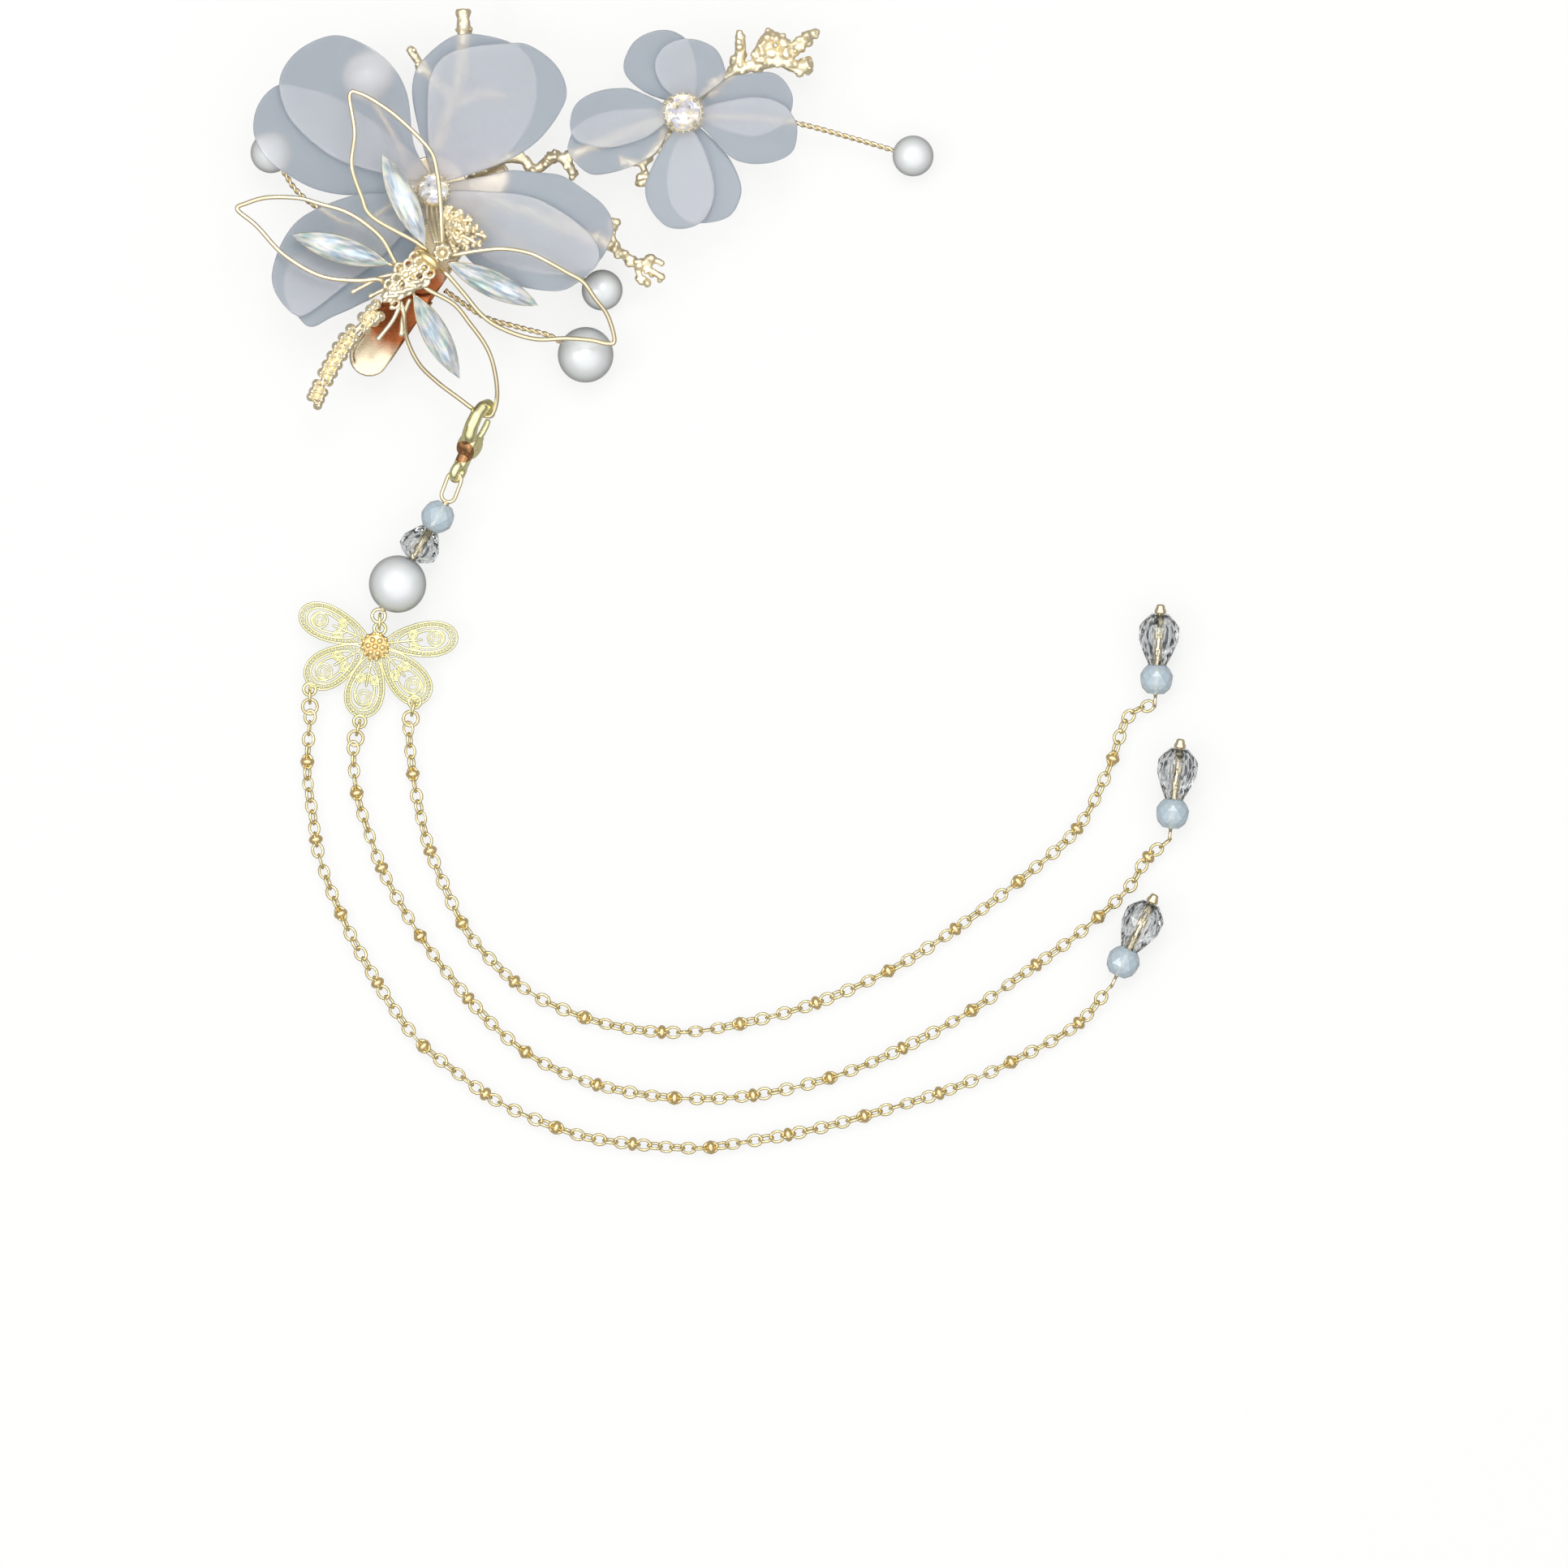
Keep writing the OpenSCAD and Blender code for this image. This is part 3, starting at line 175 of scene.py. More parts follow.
# Coral twigs: route, then radius at its start and end
CORAL = {
    "link": [
        ([(6.9, 16.2, 7.1), (10, 17.8, 6.9), (14, 19.3, 7), (16.7, 18.8, 7.2), (17.6, 17.5, 7.3),
          (19.2, 17.4, 7.3), (21.6, 19.3, 7.4), (23.6, 19.3, 7.4), (29, 21.4, 7.2), (36, 24.4, 7.1),
          (41.4, 26, 7)], 0.95, 0.8),
        ([(23.4, 19.2, 7.4), (24.6, 17.6, 7.3), (25.6, 15.7, 7.1)], 0.9, 0.75),
    ],
    "top": [
        ([(1.3, 20.2, 7.1), (3, 26, 7.6), (5, 32, 8.3), (5.9, 38, 8.8), (5.9, 44.8, 9.2)], 0.9, 1.05),
        ([(4.2, 30, 8.1), (1, 32.6, 8.4), (-1.6, 35.6, 8.7), (-3.7, 38.8, 9)], 0.8, 0.7),
        ([(3.6, 28, 7.8), (9, 30.4, 8.2), (13.4, 30, 8.4)], 0.7, 0.5),
    ],
    "right": [
        ([(7.1, 12.9, 7.1), (14, 10.6, 7.3), (22, 7.6, 7.6), (30.6, 4.2, 8.2), (36, 1, 8.7),
          (41.4, -2.1, 9)], 0.85, 0.65),
        ([(33, 3, 8.4), (32, 6, 8.8), (32.6, 8.2, 9)], 0.6, 0.45),
        ([(37, 0.4, 8.7), (39.4, 1.2, 9), (41.3, 0.4, 9.3)], 0.6, 0.45),
        ([(36.4, 0.8, 8.7), (37, -1.6, 8.8), (38.8, -2.8, 9)], 0.6, 0.45),
    ],
    "small": [
        ([(47.8, 30, 7.1), (51, 32.6, 7.6), (53.8, 34.6, 8.2), (54.6, 37.6, 8.6), (54.6, 41.2, 8.8)],
         0.9, 0.95),
        ([(53.6, 34.6, 8.2), (57.4, 35.4, 8.6), (61.6, 36.2, 9), (64.4, 35.2, 9.2), (67, 35.6, 9.4)],
         0.85, 1.15),
        ([(58.2, 35.8, 8.8), (58.2, 38.2, 9), (59.8, 40.6, 9.2), (62.2, 39.4, 9.3), (63.2, 37, 9.3)],
         1, 1.05),
        ([(63, 36.9, 9.2), (65, 38.8, 9.3), (66.6, 40.6, 9.4), (68, 41, 9.5)], 1, 0.85),
        ([(41.8, 24.1, 7.1), (39.4, 20.6, 7.2), (36.6, 18.4, 7.4), (33, 19.4, 7.6)], 0.75, 0.6),
        ([(37, 18.7, 7.4), (37.8, 16.6, 7.5), (37, 14.6, 7.6)], 0.6, 0.5),
    ],
}

# Tips of the stamens beside the dragonfly's head
STAMEN_TIPS = [
    (3.9, 10.4, 15), (5.6, 9.4, 15.8), (7.3, 8.2, 15.2), (8.3, 6.7, 16), (9.7, 5.3, 15.2), (8.6, 3.9, 16),
    (6.6, 3.3, 15.4), (5.2, 4.4, 16.3), (6.7, 6.3, 16.6), (4.6, 7.2, 16.3), (4.5, 2.4, 15.6)]
DRAGONFLY_HEAD = Vector((2.3, 2.4))
BACK = Vector((-10.9, -10)).normalized()
ACROSS = Vector((-BACK.y, BACK.x))
# Thorax: how far back from the head, where its middle is aside, half its width
THORAX = [(2.6, -0.1, 2.6), (4.6, -0.6, 3.3), (7, -1, 3.1), (9.4, -1.1, 2.4), (11.6, -0.4, 2), (13, 0, 1.8)]
TAIL = [(-9, -7.7), (-14.3, -12.9), (-18, -19), (-20.3, -23.9)]
# Short legs that show beside the thorax
LEGS = [
    [(-6.2, -1.4, 17.6), (-8.6, -1.9, 17), (-11, -3.1, 16.4), (-13.4, -4.4, 16)],
    [(-6, -3, 17.4), (-8.4, -4.2, 16.8), (-10.3, -5.2, 16.2)],
    [(-4.8, -6, 17.2), (-6.4, -9.4, 16.4), (-8.9, -12.6, 15.6)],
    [(-3.4, -5.6, 17.2), (-4.6, -8.8, 16.2), (-4.9, -11.8, 15.4)],
    [(0.6, -1.4, 18.6), (-1.6, -3.2, 18.9), (-3.4, -3.6, 19)],
]

CHAINS = {
    "outer": [
        (-21.1, -79.1), (-21.6, -88.7), (-20.7, -96), (-19, -105.3), (-13, -119.3), (-3.6, -134.3),
        (4.3, -141.4), (13, -147.4), (24.3, -152.1), (32, -153.8), (45.7, -155), (53.6, -154.2),
        (67, -151.8), (80, -148.3), (93, -144.1), (104.3, -138.8), (113.8, -133.3), (119.3, -127)],
    "middle": [
        (-13.5, -84.6), (-13, -92), (-10.6, -100), (-6.9, -109), (1.4, -122.1), (12.9, -135),
        (24.3, -142.1), (38.6, -145.7), (53, -146.1), (67, -143.6), (79.3, -139.2), (93.6, -131.8),
        (104.3, -124.4), (114.3, -117.1), (122.6, -109.6), (126, -104.2), (129.4, -101.3)],
    "inner": [
        (-3.8, -81.2), (-2.9, -90), (-0.8, -100), (1.6, -106.6), (5.7, -115.5), (10, -121.1),
        (15.7, -126.3), (23, -130.4), (33, -133.6), (44.3, -134.6), (56, -132.8), (68.6, -129.2),
        (82, -123.1), (93.6, -115.6), (105.7, -106.3), (114, -98.6), (119.3, -88.6), (122.6, -79.5),
        (126.3, -77.2)],
}
CHAIN_Z = 1.35
CHAIN_START_Z = 1.7
CHAIN_END_Z = 2.3
# Place of a chain's first spacer among its links
FIRST_SPACER = 4
# End drops: place of the pin's loop, and the turn of the drop
ENDS = {"outer": ((120.3, -125.7), 64.5), "middle": ((130.2, -99.9), 83.6), "inner": ((127.6, -76.3), 86.7)}
END_Z = 2.7
END_TILT = 5.4
END_BEAD_AT = 1.35

DROP_TOP = Vector((4.3, -37.4, 6.3))
LOOP_TURN = 249.5
DROP_TURN = 239.2
DROP_SLOPE = 3.3
LOOP_R = 1.25
LOOP_WIRE_R = 0.36
LOOP_REACH = 2.85
BEAD_LENGTH = 5.1
BEAD_WIDTH = 5.9
CRYSTAL_WIDTH = 7.4
END_CRYSTAL_LENGTH = 8.9
DROP_CRYSTAL_LENGTH = 6.1
DROP_PEARL = 10.1
GAP = 0.05
# How far down the pin of the drop the crystal starts, and where the pearl's middle is
CRYSTAL_AT = GAP + BEAD_LENGTH + GAP
PEARL_AT = CRYSTAL_AT + DROP_CRYSTAL_LENGTH + GAP + DROP_PEARL / 2
# Rows of corners of a blue bead and of a crystal: share of its length, share of its width
BEAD_ROWS = [(0, 0.26), (0.17, 0.41), (0.36, 0.49), (0.64, 0.49), (0.83, 0.41), (1, 0.26)]
CRYSTAL_ROWS = [(0, 0.23), (0.14, 0.31), (0.3, 0.4), (0.46, 0.465), (0.62, 0.5), (0.76, 0.47), (0.88, 0.37),
                (1, 0.2)]

CLASP_PIVOT = Vector((5.9, -32.5))
# Reach of the brown tone round the clasp's pivot
PIVOT_TONE_R = 1.9

FLY_AT = Vector((-9.6, -66.6, 2.8))
FLY_TURN = -9.2
FLY_TILT = 7
FLY_EYES = [(-10.2, -9.4), (-0.6, -13.6), (8.4, -8.6)]
# Butterfly lobes: centre, turn, length, width
FLY_LOBES = [
    ((7.8, 2.4), 14, 13, 6), ((-7.8, 2.4), 166, 13, 6),
    ((5.9, -4.4), -40, 11.8, 6.5), ((-6.5, -4.4), 220, 11.8, 6.5),
    ((-0.5, -7.2), 267, 11.4, 6.6),
]


# Sizes and colours that a user would change


def linear(code):
    """Colour of an sRGB hex code, as Blender's linear values."""
    parts = [int(code[i:i + 2], 16) / 255 for i in (1, 3, 5)]
    return [c / 12.92 if c <= 0.04045 else ((c + 0.055) / 1.055) ** 2.4 for c in parts]


def size(label, millimetres, words):
    return FloatProperty(name=label, description=words, default=millimetres * MM, subtype="DISTANCE",
                         unit="LENGTH", precision=5)


def colour(label, code, words):
    return FloatVectorProperty(name=label, description=words, default=linear(code), subtype="COLOR",
                               min=0, max=1)


class ClipSizes(bpy.types.PropertyGroup):
    """Sizes of the parts that are made of wire, sheet and links."""

    petal: size("Petal", 0.9, "Thickness of a petal at its middle")
    wing_wire: size("Wing wire", 0.8, "Diameter of the wire round a wing")
    stem_strand: size("Stem strand", 0.52, "Diameter of one strand of a twisted stem")
    stem_turn: size("Stem turn", 2.6, "Length of one full turn of a twisted stem")
    link_length: size("Link length", 2.95, "Outer length of a chain link")
    link_width: size("Link width", 2.4, "Outer width of a chain link")
    link_wire: size("Link wire", 0.52, "Wire of a chain link")
    link_pitch: size("Link pitch", 1.98, "Distance between neighbouring links")
    spacer: size("Spacer", 2.5, "Diameter of a spacer bead on a chain")
    filigree_wire: size("Filigree wire", 0.42, "Wire of the butterfly's outlines")
    granule: size("Granule", 0.62, "Diameter of the butterfly's granules")
    spacer_every: IntProperty(name="Spacer every", description="Links from one spacer to the next", default=7)


class ClipColours(bpy.types.PropertyGroup):
    """Base colours of the finishes."""

    pale_gold: colour("Pale gold", "#f8edcf", "Gold plating of the wires")
    cast_gold: colour("Cast gold", "#fbf4de", "Gold plating of the dragonfly and the settings")
    lemon_gold: colour("Lemon gold", "#f8f6cd", "Gold plating of the clasp and butterfly")
    chain_gold: colour("Chain gold", "#f0e4b8", "Gold plating of the chains and jump rings")
    coral_gold: colour("Coral gold", "#fbf3da", "Satin plating of the coral twigs")
    warm_gold: colour("Warm gold", "#f9e6b4", "Thicker plating of the collar, the rosette and the spacers")
    # Brown copper tone round the clasp's pivot
    worn_copper: colour("Worn copper", "#c39266", "Brown tone round the clasp's pivot")
    clip_ivory: colour("Clip ivory", "#d9cbb0", "Thin gold plating of the steel clip")
    # Copper glow is painted shade and reflection: the clip's colour under the dragonfly, where it lies in
    # shadow and mirrors the gold above
    copper: colour("Copper glow", "#a9623c", "Painted copper shade on the clip under the dragonfly")
    petal: colour("Petal", "#fafdff", "Frosted resin of the petals")
    pearl: colour("Pearl", "#eef1f2", "Nacre lacquer of the pearls")
    blue_opal: colour("Blue opal", "#d3e8f7", "Milky glass of the blue beads")
    floor: colour("Floor", "#fbfbfa", "Matt sheet that the clip lies on")


# Node trees


def put(tree, kind, inputs=None, **settings):
    """Adds a node with its settings, and sets or links its inputs. A node as input gives its first output,
    and a list is joined link by link."""
    node = tree.nodes.new(kind)
    for name, value in settings.items():
        setattr(node, name, value)
    for name, value in (inputs or {}).items():
        for source in value if isinstance(value, list) else [value]:
            source = source.outputs[0] if isinstance(source, bpy.types.Node) else source
            if isinstance(source, bpy.types.NodeSocket):
                tree.links.new(source, node.inputs[name])
            else:
                node.inputs[name].default_value = source
    return node


def start_tree(name, numbers):
    """A geometry tree with a path or surface, the named numbers and a material as its inputs."""
    tree = bpy.data.node_groups.new(name, "GeometryNodeTree")
    tree.interface.new_socket(name="Geometry", in_out="OUTPUT", socket_type="NodeSocketGeometry")
    tree.interface.new_socket(name="Geometry", in_out="INPUT", socket_type="NodeSocketGeometry")
    for label, value in numbers.items():
        kind = "NodeSocketInt" if isinstance(value, int) else "NodeSocketFloat"
        tree.interface.new_socket(name=label, in_out="INPUT", socket_type=kind).default_value = value
    tree.interface.new_socket(name="Material", in_out="INPUT", socket_type="NodeSocketMaterial")
    return tree, tree.nodes.new("NodeGroupInput").outputs


def end_tree(tree, geometry, given):
    """Realizes the instances, sets the material and closes the tree."""
    real = put(tree, "GeometryNodeRealizeInstances", {"Geometry": geometry})
    smooth = put(tree, "GeometryNodeSetShadeSmooth", {"Geometry": real})
    dressed = put(tree, "GeometryNodeSetMaterial", {"Geometry": smooth, "Material": given["Material"]})
    put(tree, "NodeGroupOutput", {"Geometry": dressed})
    return tree


def step_along(tree, given):
    """Points along the path at the given pitch."""
    path = put(tree, "GeometryNodeMeshToCurve", {"Mesh": given["Geometry"]})
    return put(tree, "GeometryNodeCurveToPoints", {"Curve": path, "Length": given["Pitch"]}, mode="LENGTH")


def twisted_wire_tree():
    """Two round strands laid round each other along a path."""
    tree, given = start_tree("Twisted wire", {"Lay Radius": 0.25, "Strand Radius": 0.26, "Turn Length": 2.6})
    path = put(tree, "GeometryNodeMeshToCurve", {"Mesh": given["Geometry"]})
    step = put(tree, "ShaderNodeMath", {0: given["Turn Length"], 1: 14}, operation="DIVIDE")
    even = put(tree, "GeometryNodeResampleCurve", {"Curve": path, "Length": step}, mode="LENGTH")
    reach = put(tree, "GeometryNodeSplineParameter").outputs["Length"]
    turns = put(tree, "ShaderNodeMath", {0: reach, 1: given["Turn Length"]}, operation="DIVIDE")
    normal = put(tree, "GeometryNodeInputNormal")
    tangent = put(tree, "GeometryNodeInputTangent")
    side = put(tree, "ShaderNodeVectorMath", {0: tangent, 1: normal}, operation="CROSS_PRODUCT")
    profile = put(tree, "GeometryNodeCurvePrimitiveCircle",
                  {"Resolution": 8, "Radius": given["Strand Radius"]})
    strands = []
    for half_turn in (0, math.pi):
        angle = put(tree, "ShaderNodeMath", {0: turns, 1: math.tau, 2: half_turn}, operation="MULTIPLY_ADD")
        cosine = put(tree, "ShaderNodeMath", {0: angle}, operation="COSINE")
        sine = put(tree, "ShaderNodeMath", {0: angle}, operation="SINE")
        up = put(tree, "ShaderNodeVectorMath", {0: normal, "Scale": cosine}, operation="SCALE")
        out = put(tree, "ShaderNodeVectorMath", {0: side, "Scale": sine}, operation="SCALE")
        way = put(tree, "ShaderNodeVectorMath", {0: up, 1: out}, operation="ADD")
        shift = put(tree, "ShaderNodeVectorMath", {0: way, "Scale": given["Lay Radius"]}, operation="SCALE")
        strand = put(tree, "GeometryNodeSetPosition", {"Geometry": even, "Offset": shift})
        strands.append(put(tree, "GeometryNodeCurveToMesh",
                           {"Curve": strand, "Profile Curve": profile, "Fill Caps": True}))
    return end_tree(tree, put(tree, "GeometryNodeJoinGeometry", {0: strands}), given)


def granule_tree():
    """Round granules set side by side along a path."""
    tree, given = start_tree("Granules", {"Pitch": 0.7, "Granule Radius": 0.3, "Detail": 2})
    points = step_along(tree, given)
    grain = put(tree, "GeometryNodeMeshIcoSphere",
                {"Radius": given["Granule Radius"], "Subdivisions": given["Detail"]})
    row = put(tree, "GeometryNodeInstanceOnPoints", {"Points": points, "Instance": grain})
    return end_tree(tree, row, given)


def chain_tree():
    """Oval links laid one through the next along a path, every second one nearly on edge."""
    tree, given = start_tree("Chain", {"Pitch": 1.92, "Link Length": 2.75, "Link Width": 2.25, "Wire": 0.42,
                                       "Sway": 0.25, "Seed": 1})
    points = step_along(tree, given)
    facing = put(tree, "FunctionNodeAlignRotationToVector", {"Vector": points.outputs["Tangent"]}, axis="X")
    index = put(tree, "GeometryNodeInputIndex")
    odd = put(tree, "ShaderNodeMath", {0: index, 1: 2}, operation="MODULO")
    quarter = put(tree, "ShaderNodeMath", {0: odd, 1: math.pi / 2, 2: 0.3}, operation="MULTIPLY_ADD")
    low = put(tree, "ShaderNodeMath", {0: given["Sway"], 1: -1}, operation="MULTIPLY")
    sway = put(tree, "FunctionNodeRandomValue", {2: low, 3: given["Sway"], "Seed": given["Seed"]},
               data_type="FLOAT")
    roll = put(tree, "ShaderNodeMath", {0: quarter, 1: sway.outputs[1]}, operation="ADD")
    about = put(tree, "FunctionNodeAxisAngleToRotation", {"Axis": (1, 0, 0), "Angle": roll})
    turned = put(tree, "FunctionNodeRotateRotation", {"Rotation": facing, "Rotate By": about},
                 rotation_space="LOCAL")

    wire = put(tree, "ShaderNodeMath", {0: given["Wire"], 1: 0.5}, operation="MULTIPLY")
    width = put(tree, "ShaderNodeMath", {0: given["Link Width"], 1: given["Wire"]}, operation="SUBTRACT")
    half = put(tree, "ShaderNodeMath", {0: width, 1: 0.5}, operation="MULTIPLY")
    length = put(tree, "ShaderNodeMath", {0: given["Link Length"], 1: given["Wire"]}, operation="SUBTRACT")
    stretch = put(tree, "ShaderNodeMath", {0: length, 1: width}, operation="DIVIDE")
    oval = put(tree, "ShaderNodeCombineXYZ", {0: stretch, 1: 1, 2: 1})
    circle = put(tree, "GeometryNodeCurvePrimitiveCircle", {"Resolution": 12, "Radius": half})
    oval_path = put(tree, "GeometryNodeTransform", {"Geometry": circle, "Scale": oval})
    profile = put(tree, "GeometryNodeCurvePrimitiveCircle", {"Resolution": 6, "Radius": wire})
    link = put(tree, "GeometryNodeCurveToMesh", {"Curve": oval_path, "Profile Curve": profile})
    links = put(tree, "GeometryNodeInstanceOnPoints",
                {"Points": points, "Instance": link, "Rotation": turned})
    return end_tree(tree, links, given)


def spacer_tree():
    """Flattened beads threaded on a chain, one every few links."""
    tree, given = start_tree("Spacers", {"Pitch": 2.2, "Spacer Every": 7, "Spacer": 2.4, "Thickness": 1.6})
    points = step_along(tree, given)
    facing = put(tree, "FunctionNodeAlignRotationToVector", {"Vector": points.outputs["Tangent"]}, axis="X")
    index = put(tree, "GeometryNodeInputIndex")
    place = put(tree, "ShaderNodeMath", {0: index, 1: given["Spacer Every"]}, operation="MODULO")
    chosen = put(tree, "FunctionNodeCompare", {0: place, 1: FIRST_SPACER, "Epsilon": 0.1}, data_type="FLOAT",
                 operation="EQUAL")
    radius = put(tree, "ShaderNodeMath", {0: given["Spacer"], 1: 0.5}, operation="MULTIPLY")
    globe = put(tree, "GeometryNodeMeshUVSphere", {"Segments": 16, "Rings": 12, "Radius": radius})
    squeeze = put(tree, "ShaderNodeMath", {0: given["Thickness"], 1: given["Spacer"]}, operation="DIVIDE")
    flat = put(tree, "ShaderNodeCombineXYZ", {0: squeeze, 1: 1, 2: 1})
    bead = put(tree, "GeometryNodeTransform", {"Geometry": globe, "Scale": flat})
    beads = put(tree, "GeometryNodeInstanceOnPoints",
                {"Points": points, "Selection": chosen, "Instance": bead, "Rotation": facing})
    return end_tree(tree, beads, given)


def nub_tree():
    """Small nubs scattered over a twig, each half sunk in it."""
    tree, given = start_tree("Nubs", {"Per Square": 0.5, "Smallest": 0.28, "Largest": 0.6, "Seed": 3})
    points = put(tree, "GeometryNodeDistributePointsOnFaces",
                 {"Mesh": given["Geometry"], "Density": given["Per Square"], "Seed": given["Seed"]})
    girth = put(tree, "FunctionNodeRandomValue",
                {2: given["Smallest"], 3: given["Largest"], "Seed": given["Seed"]}, data_type="FLOAT")
    nub = put(tree, "GeometryNodeMeshIcoSphere", {"Radius": 1, "Subdivisions": 2})
    nubs = put(tree, "GeometryNodeInstanceOnPoints",
               {"Points": points, "Instance": nub, "Scale": girth.outputs[1]})
    return end_tree(tree, put(tree, "GeometryNodeJoinGeometry", {0: [given["Geometry"], nubs]}), given)


# Bench: shapes in millimetres


def bend(a, b, c, d, t):
    """Point between b and c on a smooth curve through a, b, c and d."""
    return 0.5 * (2 * b + (c - a) * t + (2 * a - 5 * b + 4 * c - d) * t * t
                  + (3 * b - a - 3 * c + d) * t * t * t)


def smooth_path(points, steps, closed=False):
    """Points of a smooth curve through the given ones."""
    points = [Vector(p) for p in points]
    count = len(points)
    path = []
    for i in range(count if closed else count - 1):
        near = [(i + k) % count if closed else min(max(i + k, 0), count - 1) for k in (-1, 0, 1, 2)]
        path += [bend(*(points[n] for n in near), k / steps) for k in range(steps)]
    return path if closed else path + [points[-1]]


def turn_about(angle, axis="Z"):
    return Matrix.Rotation(math.radians(angle), 4, axis)


def along(place, turn, slope=0):
    """Matrix whose Z runs along a piece that is turned in plan and slopes down."""
    return Matrix.Translation(place) @ turn_about(turn) @ turn_about(90 + slope, "Y")


def moved(place, points):
    return [place @ Vector(p) for p in points]


def around(count, radius, height=0, shift=0):
    """Places spread evenly round the Z axis, from the X axis on or shifted by a part of a step."""
    angles = [math.tau * (k + shift) / count for k in range(count)]
    return [Vector((radius * math.cos(a), radius * math.sin(a), height)) for a in angles]


def curl(count, turns, radius_at, centre=(0, 0), rise=0):
    """A flat spiral whose radius follows the share of its way, and which climbs a little."""
    path = []
    for k in range(count):
        t = k / (count - 1)
        angle = turns * math.tau * t
        path.append((centre[0] + radius_at(t) * math.cos(angle), centre[1] + radius_at(t) * math.sin(angle),
                     rise * t))
    return path


def tube(shape, path, radius, sides=12, closed=False):
    """Round wire along a path, with rounded ends. The radius is one number or one for each point."""
    path = [Vector(p).to_3d() for p in path]
    radii = [radius] * len(path) if isinstance(radius, (int, float)) else list(radius)
    if not closed:
        path, radii = round_ends(path, radii)
    count = len(path)
    last = count - 1
    ways = []
    for i in range(count):
        before, after = (i - 1, (i + 1) % count) if closed else (max(i - 1, 0), min(i + 1, last))
        ways.append((path[after] - path[before]).normalized())
    side = ways[0].orthogonal().normalized()
    uprights = []
    for way in ways:
        side = (side - side.dot(way) * way).normalized()
        uprights.append(side.copy())
    twist = 0
    if closed:
        end = (uprights[-1] - uprights[-1].dot(ways[0]) * ways[0]).normalized()
        twist = math.atan2(ways[0].dot(end.cross(uprights[0])), end.dot(uprights[0]))
    rings = []
    for i, (point, way, up) in enumerate(zip(path, ways, uprights)):
        angles = [math.tau * k / sides + twist * i / count for k in range(sides)]
        rings.append([shape.verts.new(point + radii[i] * (math.cos(a) * up + math.sin(a) * way.cross(up)))
                      for a in angles])
    for near, far in zip(rings, rings[1:] + rings[:1] if closed else rings[1:]):
        for k in range(sides):
            m = (k + 1) % sides
            shape.faces.new((near[k], near[m], far[m], far[k]))
    if not closed:
        shape.faces.new(reversed(rings[0]))
        shape.faces.new(rings[-1])


def round_ends(path, radii):
    """Adds two narrowing rings inside each end, so that a wire ends in a dome."""
    domes = [(0.05, 0.35), (0.3, 0.72)]
    body = list(zip(path, radii))
    caps = []
    for end, inner in ((0, 1), (-1, -2)):
        way = (path[inner] - path[end]).normalized()
        caps.append([(path[end] + way * radii[end] * back, radii[end] * narrow) for back, narrow in domes])
        shift = min(radii[end], (path[inner] - path[end]).length * 0.8)
        body[end] = (path[end] + way * shift, radii[end])
    both = caps[0] + body + caps[1][::-1]
    return [p for p, _ in both], [r for _, r in both]


def torus(shape, place, major, minor, segments=40, sides=12):
    """A ring in the XY plane of the given matrix."""
    tube(shape, moved(place, around(segments, major)), minor, sides, closed=True)


def lathe(shape, place, profile, segments=48):
    """A closed solid turned about Z, from (radius, height) pairs that start and end on the axis or close."""
    on_axis = 1e-6
    rings = []
    for radius, height in profile:
        ring = [Vector((0, 0, height))] if radius < on_axis else around(segments, radius, height)
        rings.append([shape.verts.new(place @ p) for p in ring])
    for near, far in zip(rings, rings[1:]):
        for k in range(segments):
            m = (k + 1) % segments
            corners = [near[k % len(near)], near[m % len(near)], far[m % len(far)], far[k % len(far)]]
            corners = list(dict.fromkeys(corners))
            if len(corners) > 2:
                shape.faces.new(corners)


def ball(shape, centre, radius, segments=16):
    """A ball with its poles up and down."""
    rings = max(6, segments // 2)
    arc = [(radius * math.sin(math.pi * k / rings), -radius * math.cos(math.pi * k / rings))
           for k in range(rings + 1)]
    lathe(shape, Matrix.Translation(Vector(centre).to_3d()), arc, segments)


def hull(shape, place, points):
    """The cut stone with the given corners. Each keeps its place in its stone, so that the painted reflection
    streaks run along it.
    """
    layers = shape.verts.layers.float_vector
    own = layers.get("stone_place") or layers.new("stone_place")
    corners = []
    for point in points:
        corner = shape.verts.new(place @ Vector(point))
        corner[own] = (Vector(point) + place.translation * 3) * MM
        corners.append(corner)
    made = bmesh.ops.convex_hull(shape, input=corners)
    spare = [v for v in made["geom_interior"] if isinstance(v, bmesh.types.BMVert)]
    bmesh.ops.delete(shape, geom=spare, context="VERTS")


def cut_bead(shape, place, rows, width, length):
    """Rows of corners that swap places from one row to the next, from (share of length, share of width)."""
    corners = []
    for row, (at, share) in enumerate(rows):
        corners += around(10, share * width, at * length, 0.5 * (row % 2))
    hull(shape, place, corners)


def new_object(name, data):
    thing = bpy.data.objects.new(name, data)
    bpy.context.scene.collection.objects.link(thing)
    return thing


def path_object(paths):
    """Edges along one or more paths, for a tree to follow."""
    mesh = bpy.data.meshes.new("path")
    verts = []
    edges = []
    for path, closed in paths:
        first = len(verts)
        verts += [Vector(p).to_3d() for p in path]
        edges += [(i, i + 1) for i in range(first, len(verts) - 1)]
        if closed:
            edges.append((len(verts) - 1, first))
    mesh.from_pydata(verts, edges, [])
    return new_object("path", mesh)


def shape_object(shape):
    mesh = bpy.data.meshes.new("shape")
    shape.to_mesh(mesh)
    shape.free()
    return new_object("shape", mesh)


def take_up(shape, thing):
    """Adds an object's mesh, with its modifiers applied, to the shape and clears the object away."""
    bpy.context.view_layer.update()
    result = bpy.data.meshes.new_from_object(thing.evaluated_get(bpy.context.evaluated_depsgraph_get()))
    source = thing.data
    bpy.data.objects.remove(thing)
    bpy.data.meshes.remove(source)
    shape.from_mesh(result)
    bpy.data.meshes.remove(result)


